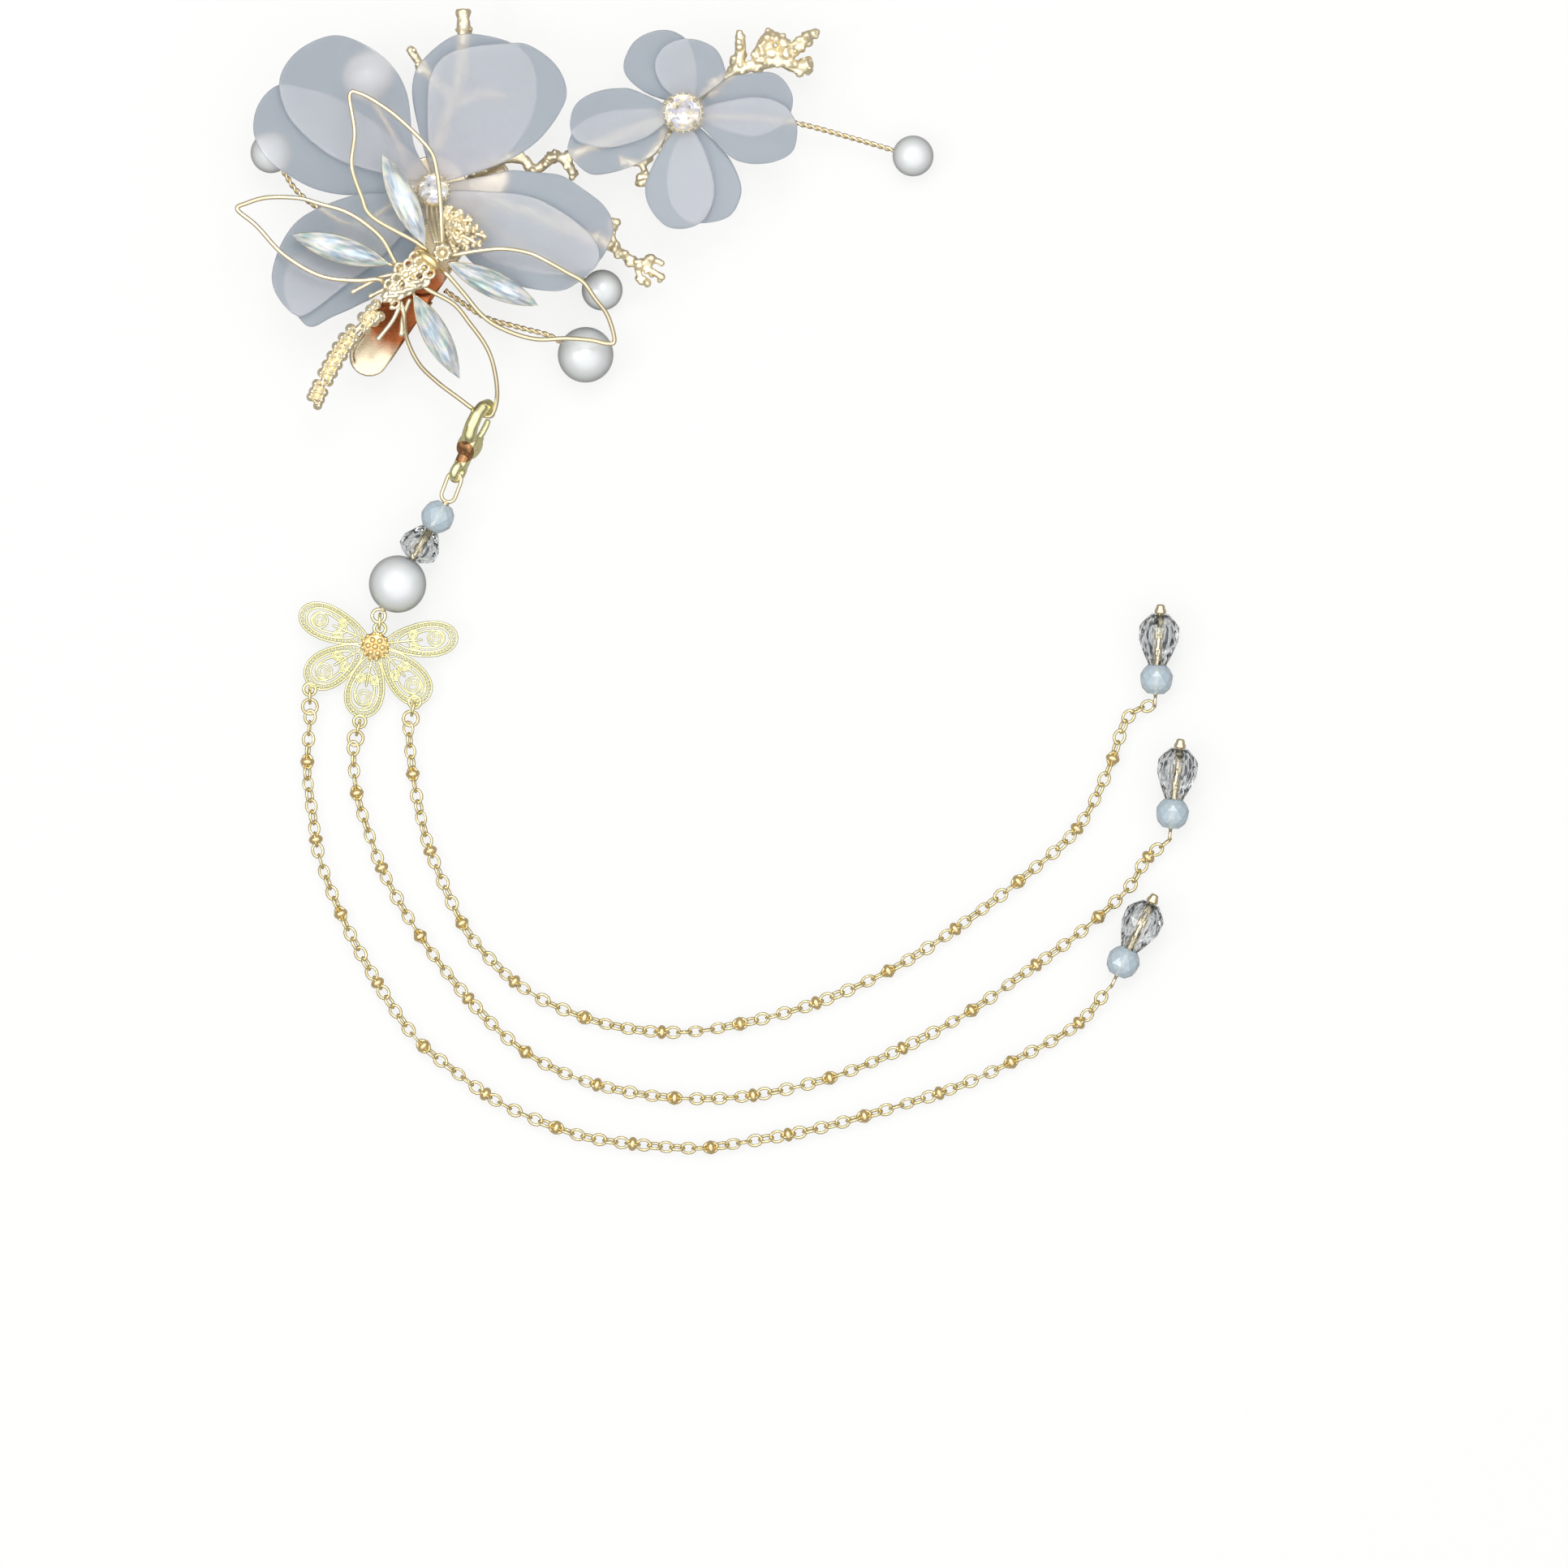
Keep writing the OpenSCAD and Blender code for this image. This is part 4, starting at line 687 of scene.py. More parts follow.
def grow(shape, thing, tree, material, **inputs):
    """Runs a geometry tree on an object and adds what it makes to the shape."""
    modifier = thing.modifiers.new(tree.name, "NODES")
    modifier.node_group = tree
    named = {"Material": material, **{name.replace("_", " ").title(): v for name, v in inputs.items()}}
    for item in tree.interface.items_tree:
        if item.item_type == "SOCKET" and item.in_out == "INPUT" and item.name in named:
            modifier[item.identifier] = named[item.name]
    take_up(shape, thing)


def cast(shape, voxel, rounds=2, grain=0, grain_size=0.6):
    """Melts overlapping solids into one skin, as in a casting, and can roughen it a little."""
    thing = shape_object(shape)
    remesh = thing.modifiers.new("Remesh", "REMESH")
    remesh.mode = "VOXEL"
    remesh.voxel_size = voxel
    melted = bmesh.new()
    take_up(melted, thing)
    for _ in range(rounds):
        bmesh.ops.smooth_vert(melted, verts=melted.verts, factor=0.5, use_axis_x=True, use_axis_y=True,
                              use_axis_z=True)
    if grain:
        melted.normal_update()
        for vert in melted.verts:
            vert.co += vert.normal * grain * noise.noise(vert.co / grain_size)
    return melted


def from_node(name):
    """A merged copy of a CAD node, in millimetres."""
    shape = bmesh.new()
    shape.from_mesh(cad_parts[name].data)
    bmesh.ops.transform(shape, matrix=Matrix.Scale(1 / MM, 4), verts=shape.verts)
    bmesh.ops.remove_doubles(shape, verts=shape.verts, dist=0.001)
    return shape


def second_finish(shape, chosen):
    """Gives the faces that the test picks the piece's second material."""
    for face in shape.faces:
        face.material_index = int(chosen(face))


def lay(name, shape, material, nodes, body=HEAD, smooth=True):
    """Scales a shape from the bench into the frame, dresses it and fixes it to its body."""
    bmesh.ops.recalc_face_normals(shape, faces=shape.faces)
    bmesh.ops.transform(shape, matrix=Matrix.Scale(MM, 4), verts=shape.verts)
    mesh = bpy.data.meshes.new(name)
    shape.to_mesh(mesh)
    shape.free()
    for finish in material if isinstance(material, list) else [material]:
        mesh.materials.append(finish)
    mesh.polygons.foreach_set("use_smooth", [smooth] * len(mesh.polygons))
    piece = new_object(name, mesh)
    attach(piece, body)
    if nodes:
        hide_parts(*nodes)
    return piece


# Finishes


def rgba(code):
    """A hex code or one of the user's colours, as a socket takes it."""
    return (*(linear(code) if code[0] == "#" else getattr(bpy.context.scene.clip_colours, code)), 1)


def new_material(name):
    material = bpy.data.materials.new(name)
    material.use_nodes = True
    material.node_tree.nodes.clear()
    return material, material.node_tree


def clouded(name, grain, base, deep):
    """A material whose tone drifts between two colours, in clouds of the given size in millimetres."""
    material, tree = new_material(name)
    place = put(tree, "ShaderNodeTexCoord").outputs["Object"]
    cloud = put(tree, "ShaderNodeTexNoise", {"Vector": place, "Scale": 1 / (grain * MM), "Detail": 2})
    tone = put(tree, "ShaderNodeMix", {0: cloud, 6: rgba(base), 7: rgba(deep)}, data_type="RGBA")
    return material, tree, place, cloud, tone.outputs[2]


def set_stops(ramp, stops):
    """Colours and places along a colour ramp."""
    band = ramp.color_ramp.elements
    while len(band) < len(stops):
        band.new(0.5)
    for stop, (at, code) in zip(band, stops):
        stop.position = at
        stop.color = rgba(code)


def surface(material, inputs):
    """Finishes the material with a principled surface."""
    shader = put(material.node_tree, "ShaderNodeBsdfPrincipled", inputs)
    put(material.node_tree, "ShaderNodeOutputMaterial", {"Surface": shader})
    return material


# Plated metals: the real finish, its colour, its deeper tone, its roughness and its dimples' depth in mm
PLATES = {
    # Drawn wire: a cream streak down each wire between thin brown edges
    "wire": ("polished gold plate on drawn wire", "pale_gold", "#f2e1bb", 0.16, 0),
    # Dragonfly and settings: creamy lumps with dimples, drawn at 0.35 mm so that they show
    "cast": ("gold plate on cast brass", "cast_gold", "#f6e9c9", 0.3, 0.03),
    # Butterfly and clasp: cooler and more lemon than the wires
    "lemon": ("flash plated stamped brass", "lemon_gold", "#f0eaac", 0.22, 0),
    # Chain wire: pale champagne, with bright tops on the links
    "chain": ("gold plate on chain wire", "chain_gold", "#e8d69e", 0.2, 0),
    # Collar, rosette and spacers: warmer and less polished
    "warm": ("warm thick gold plate", "warm_gold", "#f1d596", 0.32, 0),
    # Clasp's pivot: a brown copper tone round it
    "worn": ("brown tone round the clasp pivot", "worn_copper", "#8d6748", 0.3, 0),
    # Coral: creamy satin, its sand drawn at 0.35 mm so that it shows
    "coral": ("satin gold plate on cast coral", "coral_gold", "#f3e3bd", 0.45, 0.05),
}


@cache
def plate(metal):
    """Plate on brass: clouds of deeper tone, smears in its polish and, on a casting, small dimples."""
    name, base, deep, rough, dimple = PLATES[metal]
    material, tree, place, _, tone = clouded(name, 3, base, deep)
    smear = put(tree, "ShaderNodeTexNoise", {"Vector": place, "Scale": 1 / (0.9 * MM), "Detail": 3})
    polish = put(tree, "ShaderNodeMapRange", {0: smear, 1: 0.3, 2: 0.7, 3: rough * 0.75, 4: rough * 1.3})
    look = {"Base Color": tone, "Metallic": 1, "Roughness": polish}
    if dimple:
        sand = put(tree, "ShaderNodeTexNoise", {"Vector": place, "Scale": 1 / (0.35 * MM), "Detail": 2})
        look["Normal"] = put(tree, "ShaderNodeBump",
                             {"Height": sand, "Strength": 0.5, "Distance": dimple * MM})
    return surface(material, look)


@cache
def clip_plate():
    """Stamped clip: ivory gold at the press tab, and warm copper painted in as shade and mirrored gold round
    a spot under the dragonfly, full within 7.5 mm and gone by 10.5 mm.
    """
    material, tree = new_material("gold plate on stamped steel")
    place = put(tree, "ShaderNodeTexCoord").outputs["Object"]
    rolled = put(tree, "ShaderNodeMapping", {"Vector": place, "Rotation": (0, 0, math.radians(-CLIP_TURN)),
                                             "Scale": (1, 12, 12)})
    lines = put(tree, "ShaderNodeTexNoise", {"Vector": rolled, "Scale": 1 / (2.5 * MM)})
    polish = put(tree, "ShaderNodeMapRange", {0: lines, 1: 0.3, 2: 0.7, 3: 0.2, 4: 0.32})
    # Painted shade: the clip turns copper round this spot under the dragonfly, as if in its shadow and
    # mirroring its gold; thin carries that share
    away = put(tree, "ShaderNodeVectorMath", {0: place, 1: (-4.6 * MM, -6.2 * MM, 5 * MM)},
               operation="DISTANCE")
    thin = put(tree, "ShaderNodeMapRange", {0: away.outputs["Value"], 1: 7.5 * MM, 2: 10.5 * MM, 3: 1, 4: 0})
    tone = put(tree, "ShaderNodeMix", {0: thin, 6: rgba("clip_ivory"), 7: rgba("copper")}, data_type="RGBA")
    return surface(material, {"Base Color": tone.outputs[2], "Metallic": 1, "Roughness": polish})


@cache
def frosted_resin():
    """Tumbled resin petal: its frosted skin blurs what lies behind it, and a second layer looks milkier."""
    material, tree, _, cloud, tone = clouded("tumbled frosted resin", 14, "petal", "#fdfbff")
    haze = put(tree, "ShaderNodeMapRange", {0: cloud, 1: 0.2, 2: 0.8, 3: 0.28, 4: 0.34})
    return surface(material, {"Base Color": tone, "Roughness": haze, "IOR": 1.3, "Transmission Weight": 0.76})


@cache
def pearl_lacquer():
    """Glass pearl with nacre lacquer: a broad soft window of light on top, and a silvery grey rim that is
    painted shade, mixed into the colour where the surface turns away from the eye.
    """
    material, tree, _, cloud, tone = clouded("nacre lacquer on glass", 2.5, "pearl", "#dde2e3")
    # Painted shade: the colour greys towards the rim, by how far the surface turns from the eye
    facing = put(tree, "ShaderNodeLayerWeight", {"Blend": 0.5}).outputs["Facing"]
    rim = put(tree, "ShaderNodeMapRange", {0: facing, 1: 0.12, 2: 0.85}, interpolation_type="SMOOTHSTEP")
    painted_rim_shade = put(tree, "ShaderNodeMix", {0: rim, 6: tone, 7: rgba("#b1b7ba")}, data_type="RGBA")
    skin = put(tree, "ShaderNodeMapRange", {0: cloud, 1: 0.2, 2: 0.8, 3: 0.28, 4: 0.36})
    return surface(material, {"Base Color": painted_rim_shade.outputs[2], "Metallic": 0.15, "Roughness": skin,
                              "Coat Weight": 0.35, "Coat Roughness": 0.12})


@cache
def clear_crystal():
    """Cut lead glass: white, grey and dark streaks along the pin are painted reflections in its colour,
    standing for its long facets mirroring one another.
    """
    material, tree = new_material("cut lead glass")
    own = put(tree, "ShaderNodeAttribute", attribute_name="stone_place").outputs["Vector"]
    drawn = put(tree, "ShaderNodeMapping", {"Vector": own, "Scale": (1, 1, 0.14)})
    # Painted reflections: a noise drawn out along the pin, turned into white, grey and near-black streaks
    streak = put(tree, "ShaderNodeTexNoise", {"Vector": drawn, "Scale": 1 / (1.1 * MM), "Detail": 2})
    tone = put(tree, "ShaderNodeValToRGB", {"Fac": streak})
    set_stops(tone, [(0.34, "#1d2024"), (0.43, "#a9aeb3"), (0.47, "#ffffff"), (0.52, "#8b9095"),
                     (0.57, "#ffffff"), (0.66, "#33373c")])
    return surface(material, {"Base Color": tone, "Roughness": 0, "IOR": 1.55, "Transmission Weight": 1})


@cache
def rhinestone_glass():
    """Clear glass of the round brilliants, bright over its foil."""
    material, _, _, _, tone = clouded("clear rhinestone glass", 1.5, "#ffffff", "#f6f8ff")
    return surface(material, {"Base Color": tone, "Roughness": 0, "IOR": 1.55, "Transmission Weight": 1})


@cache
def stone_foil():
    """Silver foil behind a rhinestone, a little crumpled: it throws the light back through the facets, and
    its crumples are tinted white, cream, lavender and blue-grey as painted glints.
    """
    material, tree = new_material("silver foil")
    place = put(tree, "ShaderNodeTexCoord").outputs["Object"]
    crumple = put(tree, "ShaderNodeTexVoronoi", {"Vector": place, "Scale": 1 / (0.9 * MM)})
    each = put(tree, "ShaderNodeSeparateColor", {0: crumple.outputs["Color"]})
    # Painted glints: each crumple takes a tint from white, cream, lavender and blue-grey
    painted_glint = put(tree, "ShaderNodeValToRGB", {"Fac": each})
    set_stops(painted_glint, [(0, "#c9d0dc"), (0.25, "#ffffff"), (0.5, "#f3e6c6"), (0.75, "#ffffff"), (1, "#d6d1e4")])
    polish = put(tree, "ShaderNodeMapRange", {0: crumple, 1: 0, 2: 1, 3: 0.1, 4: 0.25})
    return surface(material, {"Base Color": painted_glint, "Metallic": 0.85, "Roughness": polish})


@cache
def opal_glass():
    """Foiled opal glass of the pointed stones: aqua and lemon fire, under grey and white streaks along each
    stone that are painted reflections of its facets.
    """
    material, tree = new_material("foiled opal glass")
    own = put(tree, "ShaderNodeAttribute", attribute_name="stone_place").outputs["Vector"]
    drawn = put(tree, "ShaderNodeMapping", {"Vector": own, "Scale": (0.16, 1, 1)})
    streak = put(tree, "ShaderNodeTexNoise", {"Vector": drawn, "Scale": 1 / (0.8 * MM), "Detail": 3})
    patch = put(tree, "ShaderNodeMapping", {"Vector": own, "Scale": (0.45, 1, 1)})
    fire = put(tree, "ShaderNodeTexNoise", {"Vector": patch, "Scale": 1 / (1.6 * MM), "Detail": 1})
    hues = put(tree, "ShaderNodeValToRGB", {"Fac": fire})
    set_stops(hues, [(0.34, "#d3e3ee"), (0.44, "#eef2f5"), (0.5, "#efecf4"), (0.57, "#f8f5e4"),
                     (0.66, "#ddf0ec")])
    # Painted reflections: grey to white streaks along the stone, multiplied over the fire
    painted_reflection_greys = put(tree, "ShaderNodeValToRGB", {"Fac": streak})
    set_stops(painted_reflection_greys, [(0.36, "#aeb9c0"), (0.5, "#dfe5e8"), (0.62, "#ffffff")])
    tone = put(tree, "ShaderNodeMix", {0: 1, 6: hues, 7: painted_reflection_greys}, data_type="RGBA", blend_type="MULTIPLY")
    polish = put(tree, "ShaderNodeMapRange", {0: streak, 1: 0.3, 2: 0.7, 3: 0.3, 4: 0.16})
    return surface(material, {"Base Color": tone.outputs[2], "Metallic": 0.2, "Roughness": polish,
                              "Coat Weight": 0.5, "Coat Roughness": 0.03})


@cache
def blue_opal_glass():
    """Milky blue glass bead: pale where light passes along the pin, deeper at the sides."""
    material, tree, _, cloud, tone = clouded("milky blue glass", 3, "blue_opal", "#e4eff4")
    polish = put(tree, "ShaderNodeMapRange", {0: cloud, 1: 0.3, 2: 0.7, 3: 0.14, 4: 0.22})
    return surface(material, {"Base Color": tone, "Roughness": polish, "IOR": 1.5, "Transmission Weight": 0.4,
                              "Coat Weight": 0.5, "Coat Roughness": 0.05})


@cache
def matt_card():
    """Matt white card under the clip, evenly white to the eye. Other rays meet painted shade in its place: a
    flat grey card in reflections, a dark blue-grey glow under the frosted petals and a pale grey glow through
    cut glass.
    """
    material, tree = new_material("matt white card")
    place = put(tree, "ShaderNodeTexCoord").outputs["Object"]
    tooth = put(tree, "ShaderNodeTexNoise", {"Vector": place, "Scale": 1 / (0.5 * MM)})
    bump = put(tree, "ShaderNodeBump", {"Height": tooth, "Strength": 0.05, "Distance": 0.02 * MM})
    card = put(tree, "ShaderNodeBsdfDiffuse", {"Color": rgba("floor"), "Normal": bump})
    lift = put(tree, "ShaderNodeEmission", {"Color": rgba("floor"), "Strength": 1})
    look = put(tree, "ShaderNodeMixShader", {0: 0.8, 1: card, 2: lift})
    # Painted shade: reflections see a flat grey card, so metal and pearls get darker edges; rays through
    # petals see a dark blue-grey glow as if the card lay in their shadow, and rays through cut glass a pale
    # grey glow
    painted_shade_card = put(tree, "ShaderNodeBsdfDiffuse", {"Color": rgba("#a8a49e")})
    painted_shade_under_petals = put(tree, "ShaderNodeEmission", {"Color": rgba("#30596f"), "Strength": 1})
    painted_grey_through_glass = put(tree, "ShaderNodeEmission", {"Color": rgba("#e9eae8"), "Strength": 1})
    ray = put(tree, "ShaderNodeLightPath").outputs
    for kind, other in (("Is Transmission Ray", painted_shade_under_petals), ("Is Singular Ray", painted_grey_through_glass),
                        ("Is Camera Ray", look)):
        painted_shade_card = put(tree, "ShaderNodeMixShader", {0: ray[kind], 1: painted_shade_card, 2: other})
    put(tree, "ShaderNodeOutputMaterial", {"Surface": painted_shade_card})
    return material


# Operators


class StageOperator(bpy.types.Operator):
    """Adds the pale floor, the soft studio light and the camera."""

    bl_idname = "hair_clip.stage"
    bl_label = "Stage"

    def execute(self, context):
        scene = context.scene
        mesh = bpy.data.meshes.new("floor")
        half = 4
        mesh.from_pydata([(-half, -half, 0), (half, -half, 0), (half, half, 0), (-half, half, 0)], [],
                         [(0, 1, 2, 3)])
        mesh.materials.append(matt_card())
        floor = new_object("floor", mesh)
        floor.location.z = -0.0002
        self.add_world(scene)
        self.add_lights()
        self.add_camera(scene)
        scene.view_settings.view_transform = "Standard"
        for name in ("transparent_max_bounces", "max_bounces", "transmission_bounces"):
            setattr(scene.cycles, name, 16)
        return {"FINISHED"}

    def add_world(self, scene):
        """Bright overhead and dim round the horizon, so that round metal gets thin brown edges."""
        scene.world = bpy.data.worlds.new("studio")
        scene.world.use_nodes = True
        tree = scene.world.node_tree
        tree.nodes.clear()
        way = put(tree, "ShaderNodeTexCoord").outputs["Generated"]
        height = put(tree, "ShaderNodeSeparateXYZ", {0: way}).outputs[2]
        dome = put(tree, "ShaderNodeValToRGB", {"Fac": height})
        set_stops(dome, [(0, "#77726c"), (0.3, "#77726c"), (0.5, "#c9c8c5"), (0.68, "#f3f4f6"),
                         (1, "#ffffff")])
        light = put(tree, "ShaderNodeBackground", {"Color": dome, "Strength": 1.3})
        seen = put(tree, "ShaderNodeBackground", {"Color": (1, 1, 1, 1), "Strength": 1})
        ray = put(tree, "ShaderNodeLightPath").outputs["Is Camera Ray"]
        mixed = put(tree, "ShaderNodeMixShader", {0: ray, 1: light, 2: seen})
        put(tree, "ShaderNodeOutputWorld", {"Surface": mixed})

    def add_lights(self):
        """Soft box beyond the head end, and a small one to the left for the sparkle."""
        middle = Vector((0.05, -0.06, 0))
        for name, place, width, power in (("soft box", (0.02, 0.38, 1), 0.42, 2.2),
                                          ("side box", (-0.6, -0.1, 0.8), 0.22, 1)):
            lamp = bpy.data.lights.new(name, "AREA")
            lamp.shape = "SQUARE"
            lamp.size = width
            lamp.energy = power
            box = new_object(name, lamp)
            box.location = place
            box.rotation_euler = (middle - Vector(place)).to_track_quat("-Z", "Y").to_euler()

    def add_camera(self, scene):
        """Long lens straight above, framing 276 mm as the photograph does."""
        frame_width = 0.276
        distance = 8.0
        data = bpy.data.cameras.new("camera")
        data.sensor_width = 36
        data.lens = 36 * distance / frame_width
        data.clip_end = 50
        camera = new_object("camera", data)
        camera.location = (0.0623, -0.0909, distance)
        scene.camera = camera


class ClipOperator(bpy.types.Operator):
    """Rounds the stamped clip, its pin and its spring, and rolls a rim round the press tab."""

    bl_idname = "hair_clip.clip"
    bl_label = "Sprung clip"

    def execute(self, context):
        arm = from_node("clip_top_arm")
        self.roll_rim(arm)
        lay("clip_top_arm_plate", cast(arm, 0.14, 3), clip_plate(), ["clip_top_arm"])
        lay("clip_jaw_plate", cast(from_node("clip_jaw"), 0.14, 3), clip_plate(), ["clip_jaw"],
            body="clip_jaw")
        lay("clip_pin_rivet", cast(from_node("clip_pin"), 0.1, 3), plate("wire"), ["clip_pin"])
        self.wind_spring()
        return {"FINISHED"}

    def roll_rim(self, arm):
        """Raised bead along the press tab's edge."""
        tab = turn_about(CLIP_TURN) @ Matrix.Translation((CLIP_PIN_X, 0, 4.6)) @ turn_about(TAB_SLOPE, "Y")
        end = -13.6
        edge = 3.1
        arc = [math.radians(a) for a in (15, 30, 45, 60)]
        rim = [(-4.5, edge), (end, edge)] + [(end - edge * math.sin(a), edge * math.cos(a)) for a in arc]
        tube(arm, moved(tab, [(x, y, 0.68) for x, y in rim]), 0.3, 8)

    def wind_spring(self):
        """A real coil with one leg, in place of the row of rings."""
        place = turn_about(CLIP_TURN) @ Matrix.Translation((CLIP_PIN_X, 0, 3))
        turns = 4.05
        steps = 65
        coil = []
        for k in range(steps + 1):
            angle = math.tau * turns * k / steps
            coil.append((1.2 * math.sin(angle), -1 + 1.9 * k / steps, 1.2 * math.cos(angle)))
        leg = [(3, 0.9, 0.28), (5.4, 0.9, -0.5), (7.8, 0.9, -1.3)]
        shape = bmesh.new()
        tube(shape, moved(place, coil + leg), 0.26, 8)
        lay("clip_spring_coil", shape, plate("wire"), ["clip_spring"])


class PetalsOperator(bpy.types.Operator):
    """Makes the sixteen frosted petals, each a cupped sheet with a soft edge."""

    bl_idname = "hair_clip.petals"
    bl_label = "Petals"

    def execute(self, context):
        for node, (outlines, *sheet) in PETALS.items():
            shape = bmesh.new()
            for outline in outlines:
                self.add_petal(shape, outline, *sheet)
            lay(node + "_resin", shape, frosted_resin(), [node])
        return {"FINISHED"}

    def add_petal(self, shape, outline, *sheet):
        """Rings from the petal's middle to its rim, above and below, that close in a round edge."""
        half = bpy.context.scene.clip_sizes.petal / MM / 2
        edge_starts, edge_reach = 0.93, 0.075
        edge = smooth_path(outline, 8, closed=True)
        middle = sum(edge, Vector((0, 0))) / len(edge)
        rim = [self.at(shape, p, 0, *sheet) for p in edge]
        count = len(edge)
        for side in (half, -half):
            rings = []
            for t in (0.1, 0.24, 0.38, 0.52, 0.65, 0.76, 0.85, 0.91, 0.95, 0.975, 0.99):
                lift = side * (1 - 0.5 * t ** 3)
                if t > edge_starts:
                    lift *= math.sqrt(1 - ((t - edge_starts) / edge_reach) ** 2)
                rings.append([self.at(shape, middle + t * (p - middle), lift, *sheet) for p in edge])
            hub = self.at(shape, middle, side, *sheet)
            for k in range(count):
                m = (k + 1) % count
                shape.faces.new((hub, rings[0][k], rings[0][m]))
                for near, far in zip(rings, rings[1:] + [rim]):
                    shape.faces.new((near[k], far[k], far[m], near[m]))

    def at(self, shape, point, lift, centre, low, rise):
        """Point on the cupped sheet, with the slight waviness of a hand-bent petal."""
        cup = rise[0] * ((point - centre).length / rise[1]) ** 2
        wave = 0.16 * noise.noise(Vector((point.x / 9, point.y / 9, centre.x)))
        return shape.verts.new((point.x, point.y, low + cup + wave + lift))


class PearlsOperator(bpy.types.Operator):
    """Makes the five pearls on stems and the strung pearl."""

    bl_idname = "hair_clip.pearls"
    bl_label = "Pearls"

    def execute(self, context):
        for name in ("pearl_left", "pearl_hidden", "pearl_mid", "pearl_big", "pearl_far"):
            low, high = (Vector(corner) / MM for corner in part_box(name))
            shape = bmesh.new()
            ball(shape, (low + high) / 2, (high.z - low.z) / 2, 48)
            lay(name + "_nacre", shape, pearl_lacquer(), [name])
        shape = bmesh.new()
        radius = DROP_PEARL / 2
        bore = 0.45
        start = math.asin(bore / radius)
        angles = [start + (math.pi - 2 * start) * k / 30 for k in range(31)]
        arc = [(radius * math.sin(a), -radius * math.cos(a)) for a in angles]
        lathe(shape, on_string(PEARL_AT), arc + [arc[0]])
        lay("drop_pearl_nacre", shape, pearl_lacquer(), ["drop_pearl"])
        return {"FINISHED"}


class StonesOperator(bpy.types.Operator):
    """Makes the claw settings of both flowers and their round brilliants."""

    bl_idname = "hair_clip.stones"
    bl_label = "Set stones"

    def execute(self, context):
        self.set_stone("large", LARGE_CENTRE, FRONT_Z, 2.45)
        self.set_stone("small", SMALL_CENTRE, SMALL_FRONT_Z, 3)
        return {"FINISHED"}

    def set_stone(self, name, centre, petals, radius):
        """A low beaded cup, four claws and the stone, which stands a little over the cup's rim."""
        drawn = 2.5
        place = Matrix.Translation((centre.x, centre.y, petals + 0.9)) @ Matrix.Scale(radius / drawn, 4)
        shape = bmesh.new()
        lathe(shape, place, [(0, -0.42), (1.9, -0.42), (2.5, 0), (2.75, 0.6), (2.75, 1.2), (2.68, 1.45),
                             (2.54, 1.5), (2.42, 1.4), (1.3, 0.3), (0, -0.38)])
        for spot in moved(place, around(20, 2.78, 0.45)):
            ball(shape, spot, 0.32, 8)
        claw = smooth_path([(2.7, 0, 0.3), (2.82, 0, 1.2), (2.72, 0, 2.1), (2.2, 0, 2.55)], 4)
        for k in range(4):
            tube(shape, moved(place @ turn_about(45 + 90 * k), claw), 0.4, 10)
        lay(name + "_claw_setting", shape, plate("cast"), [name + "_setting"])
        self.cut_brilliant(name, place @ Matrix.Translation((0, 0, 0.5)), drawn)

    def cut_brilliant(self, name, place, radius):
        """Round brilliant: table, star, kite and girdle facets over a deep foiled back."""
        corners = [(0, 0, -0.72)]
        for count, share, height, shift in ((8, 0.56, 2.15, 0), (8, 0.8, 1.85, 0.5), (16, 1, 1.4, 0.5),
                                            (16, 1, 1.28, 0.5), (8, 0.55, 0.3, 0.5)):
            corners += around(count, share * radius, height, shift)
        shape = bmesh.new()
        hull(shape, place, corners)
        girdle = (place @ Vector((0, 0, 1.27))).z
        second_finish(shape, lambda face: face.calc_center_median().z < girdle)
        lay(name + "_brilliant", shape, [rhinestone_glass(), stone_foil()],
            [name + "_stone"], smooth=False)


# Ends of two twigs, each a place, a profile and its segments: the disc and post that carry the small flower,
# and the flared end of the top twig
CORAL_ENDS = {
    "link": (Matrix.Translation((SMALL_CENTRE.x, SMALL_CENTRE.y, 6.7)),
             [(0, 0), (3.7, 0), (4, 0.3), (4, 0.6), (3.8, 0.8), (1.3, 0.8), (1.2, 1.2), (1.2, 4.6),
              (0, 4.6)], 48),
    "top": (Matrix.Translation((5.9, 44.2, 8.7)) @ turn_about(-90, "X"),
            [(0, -1.8), (0.9, -1.6), (1, -0.6), (1.35, 0.1), (1.45, 0.7), (1.3, 1.15), (0, 1.2)], 20),
}


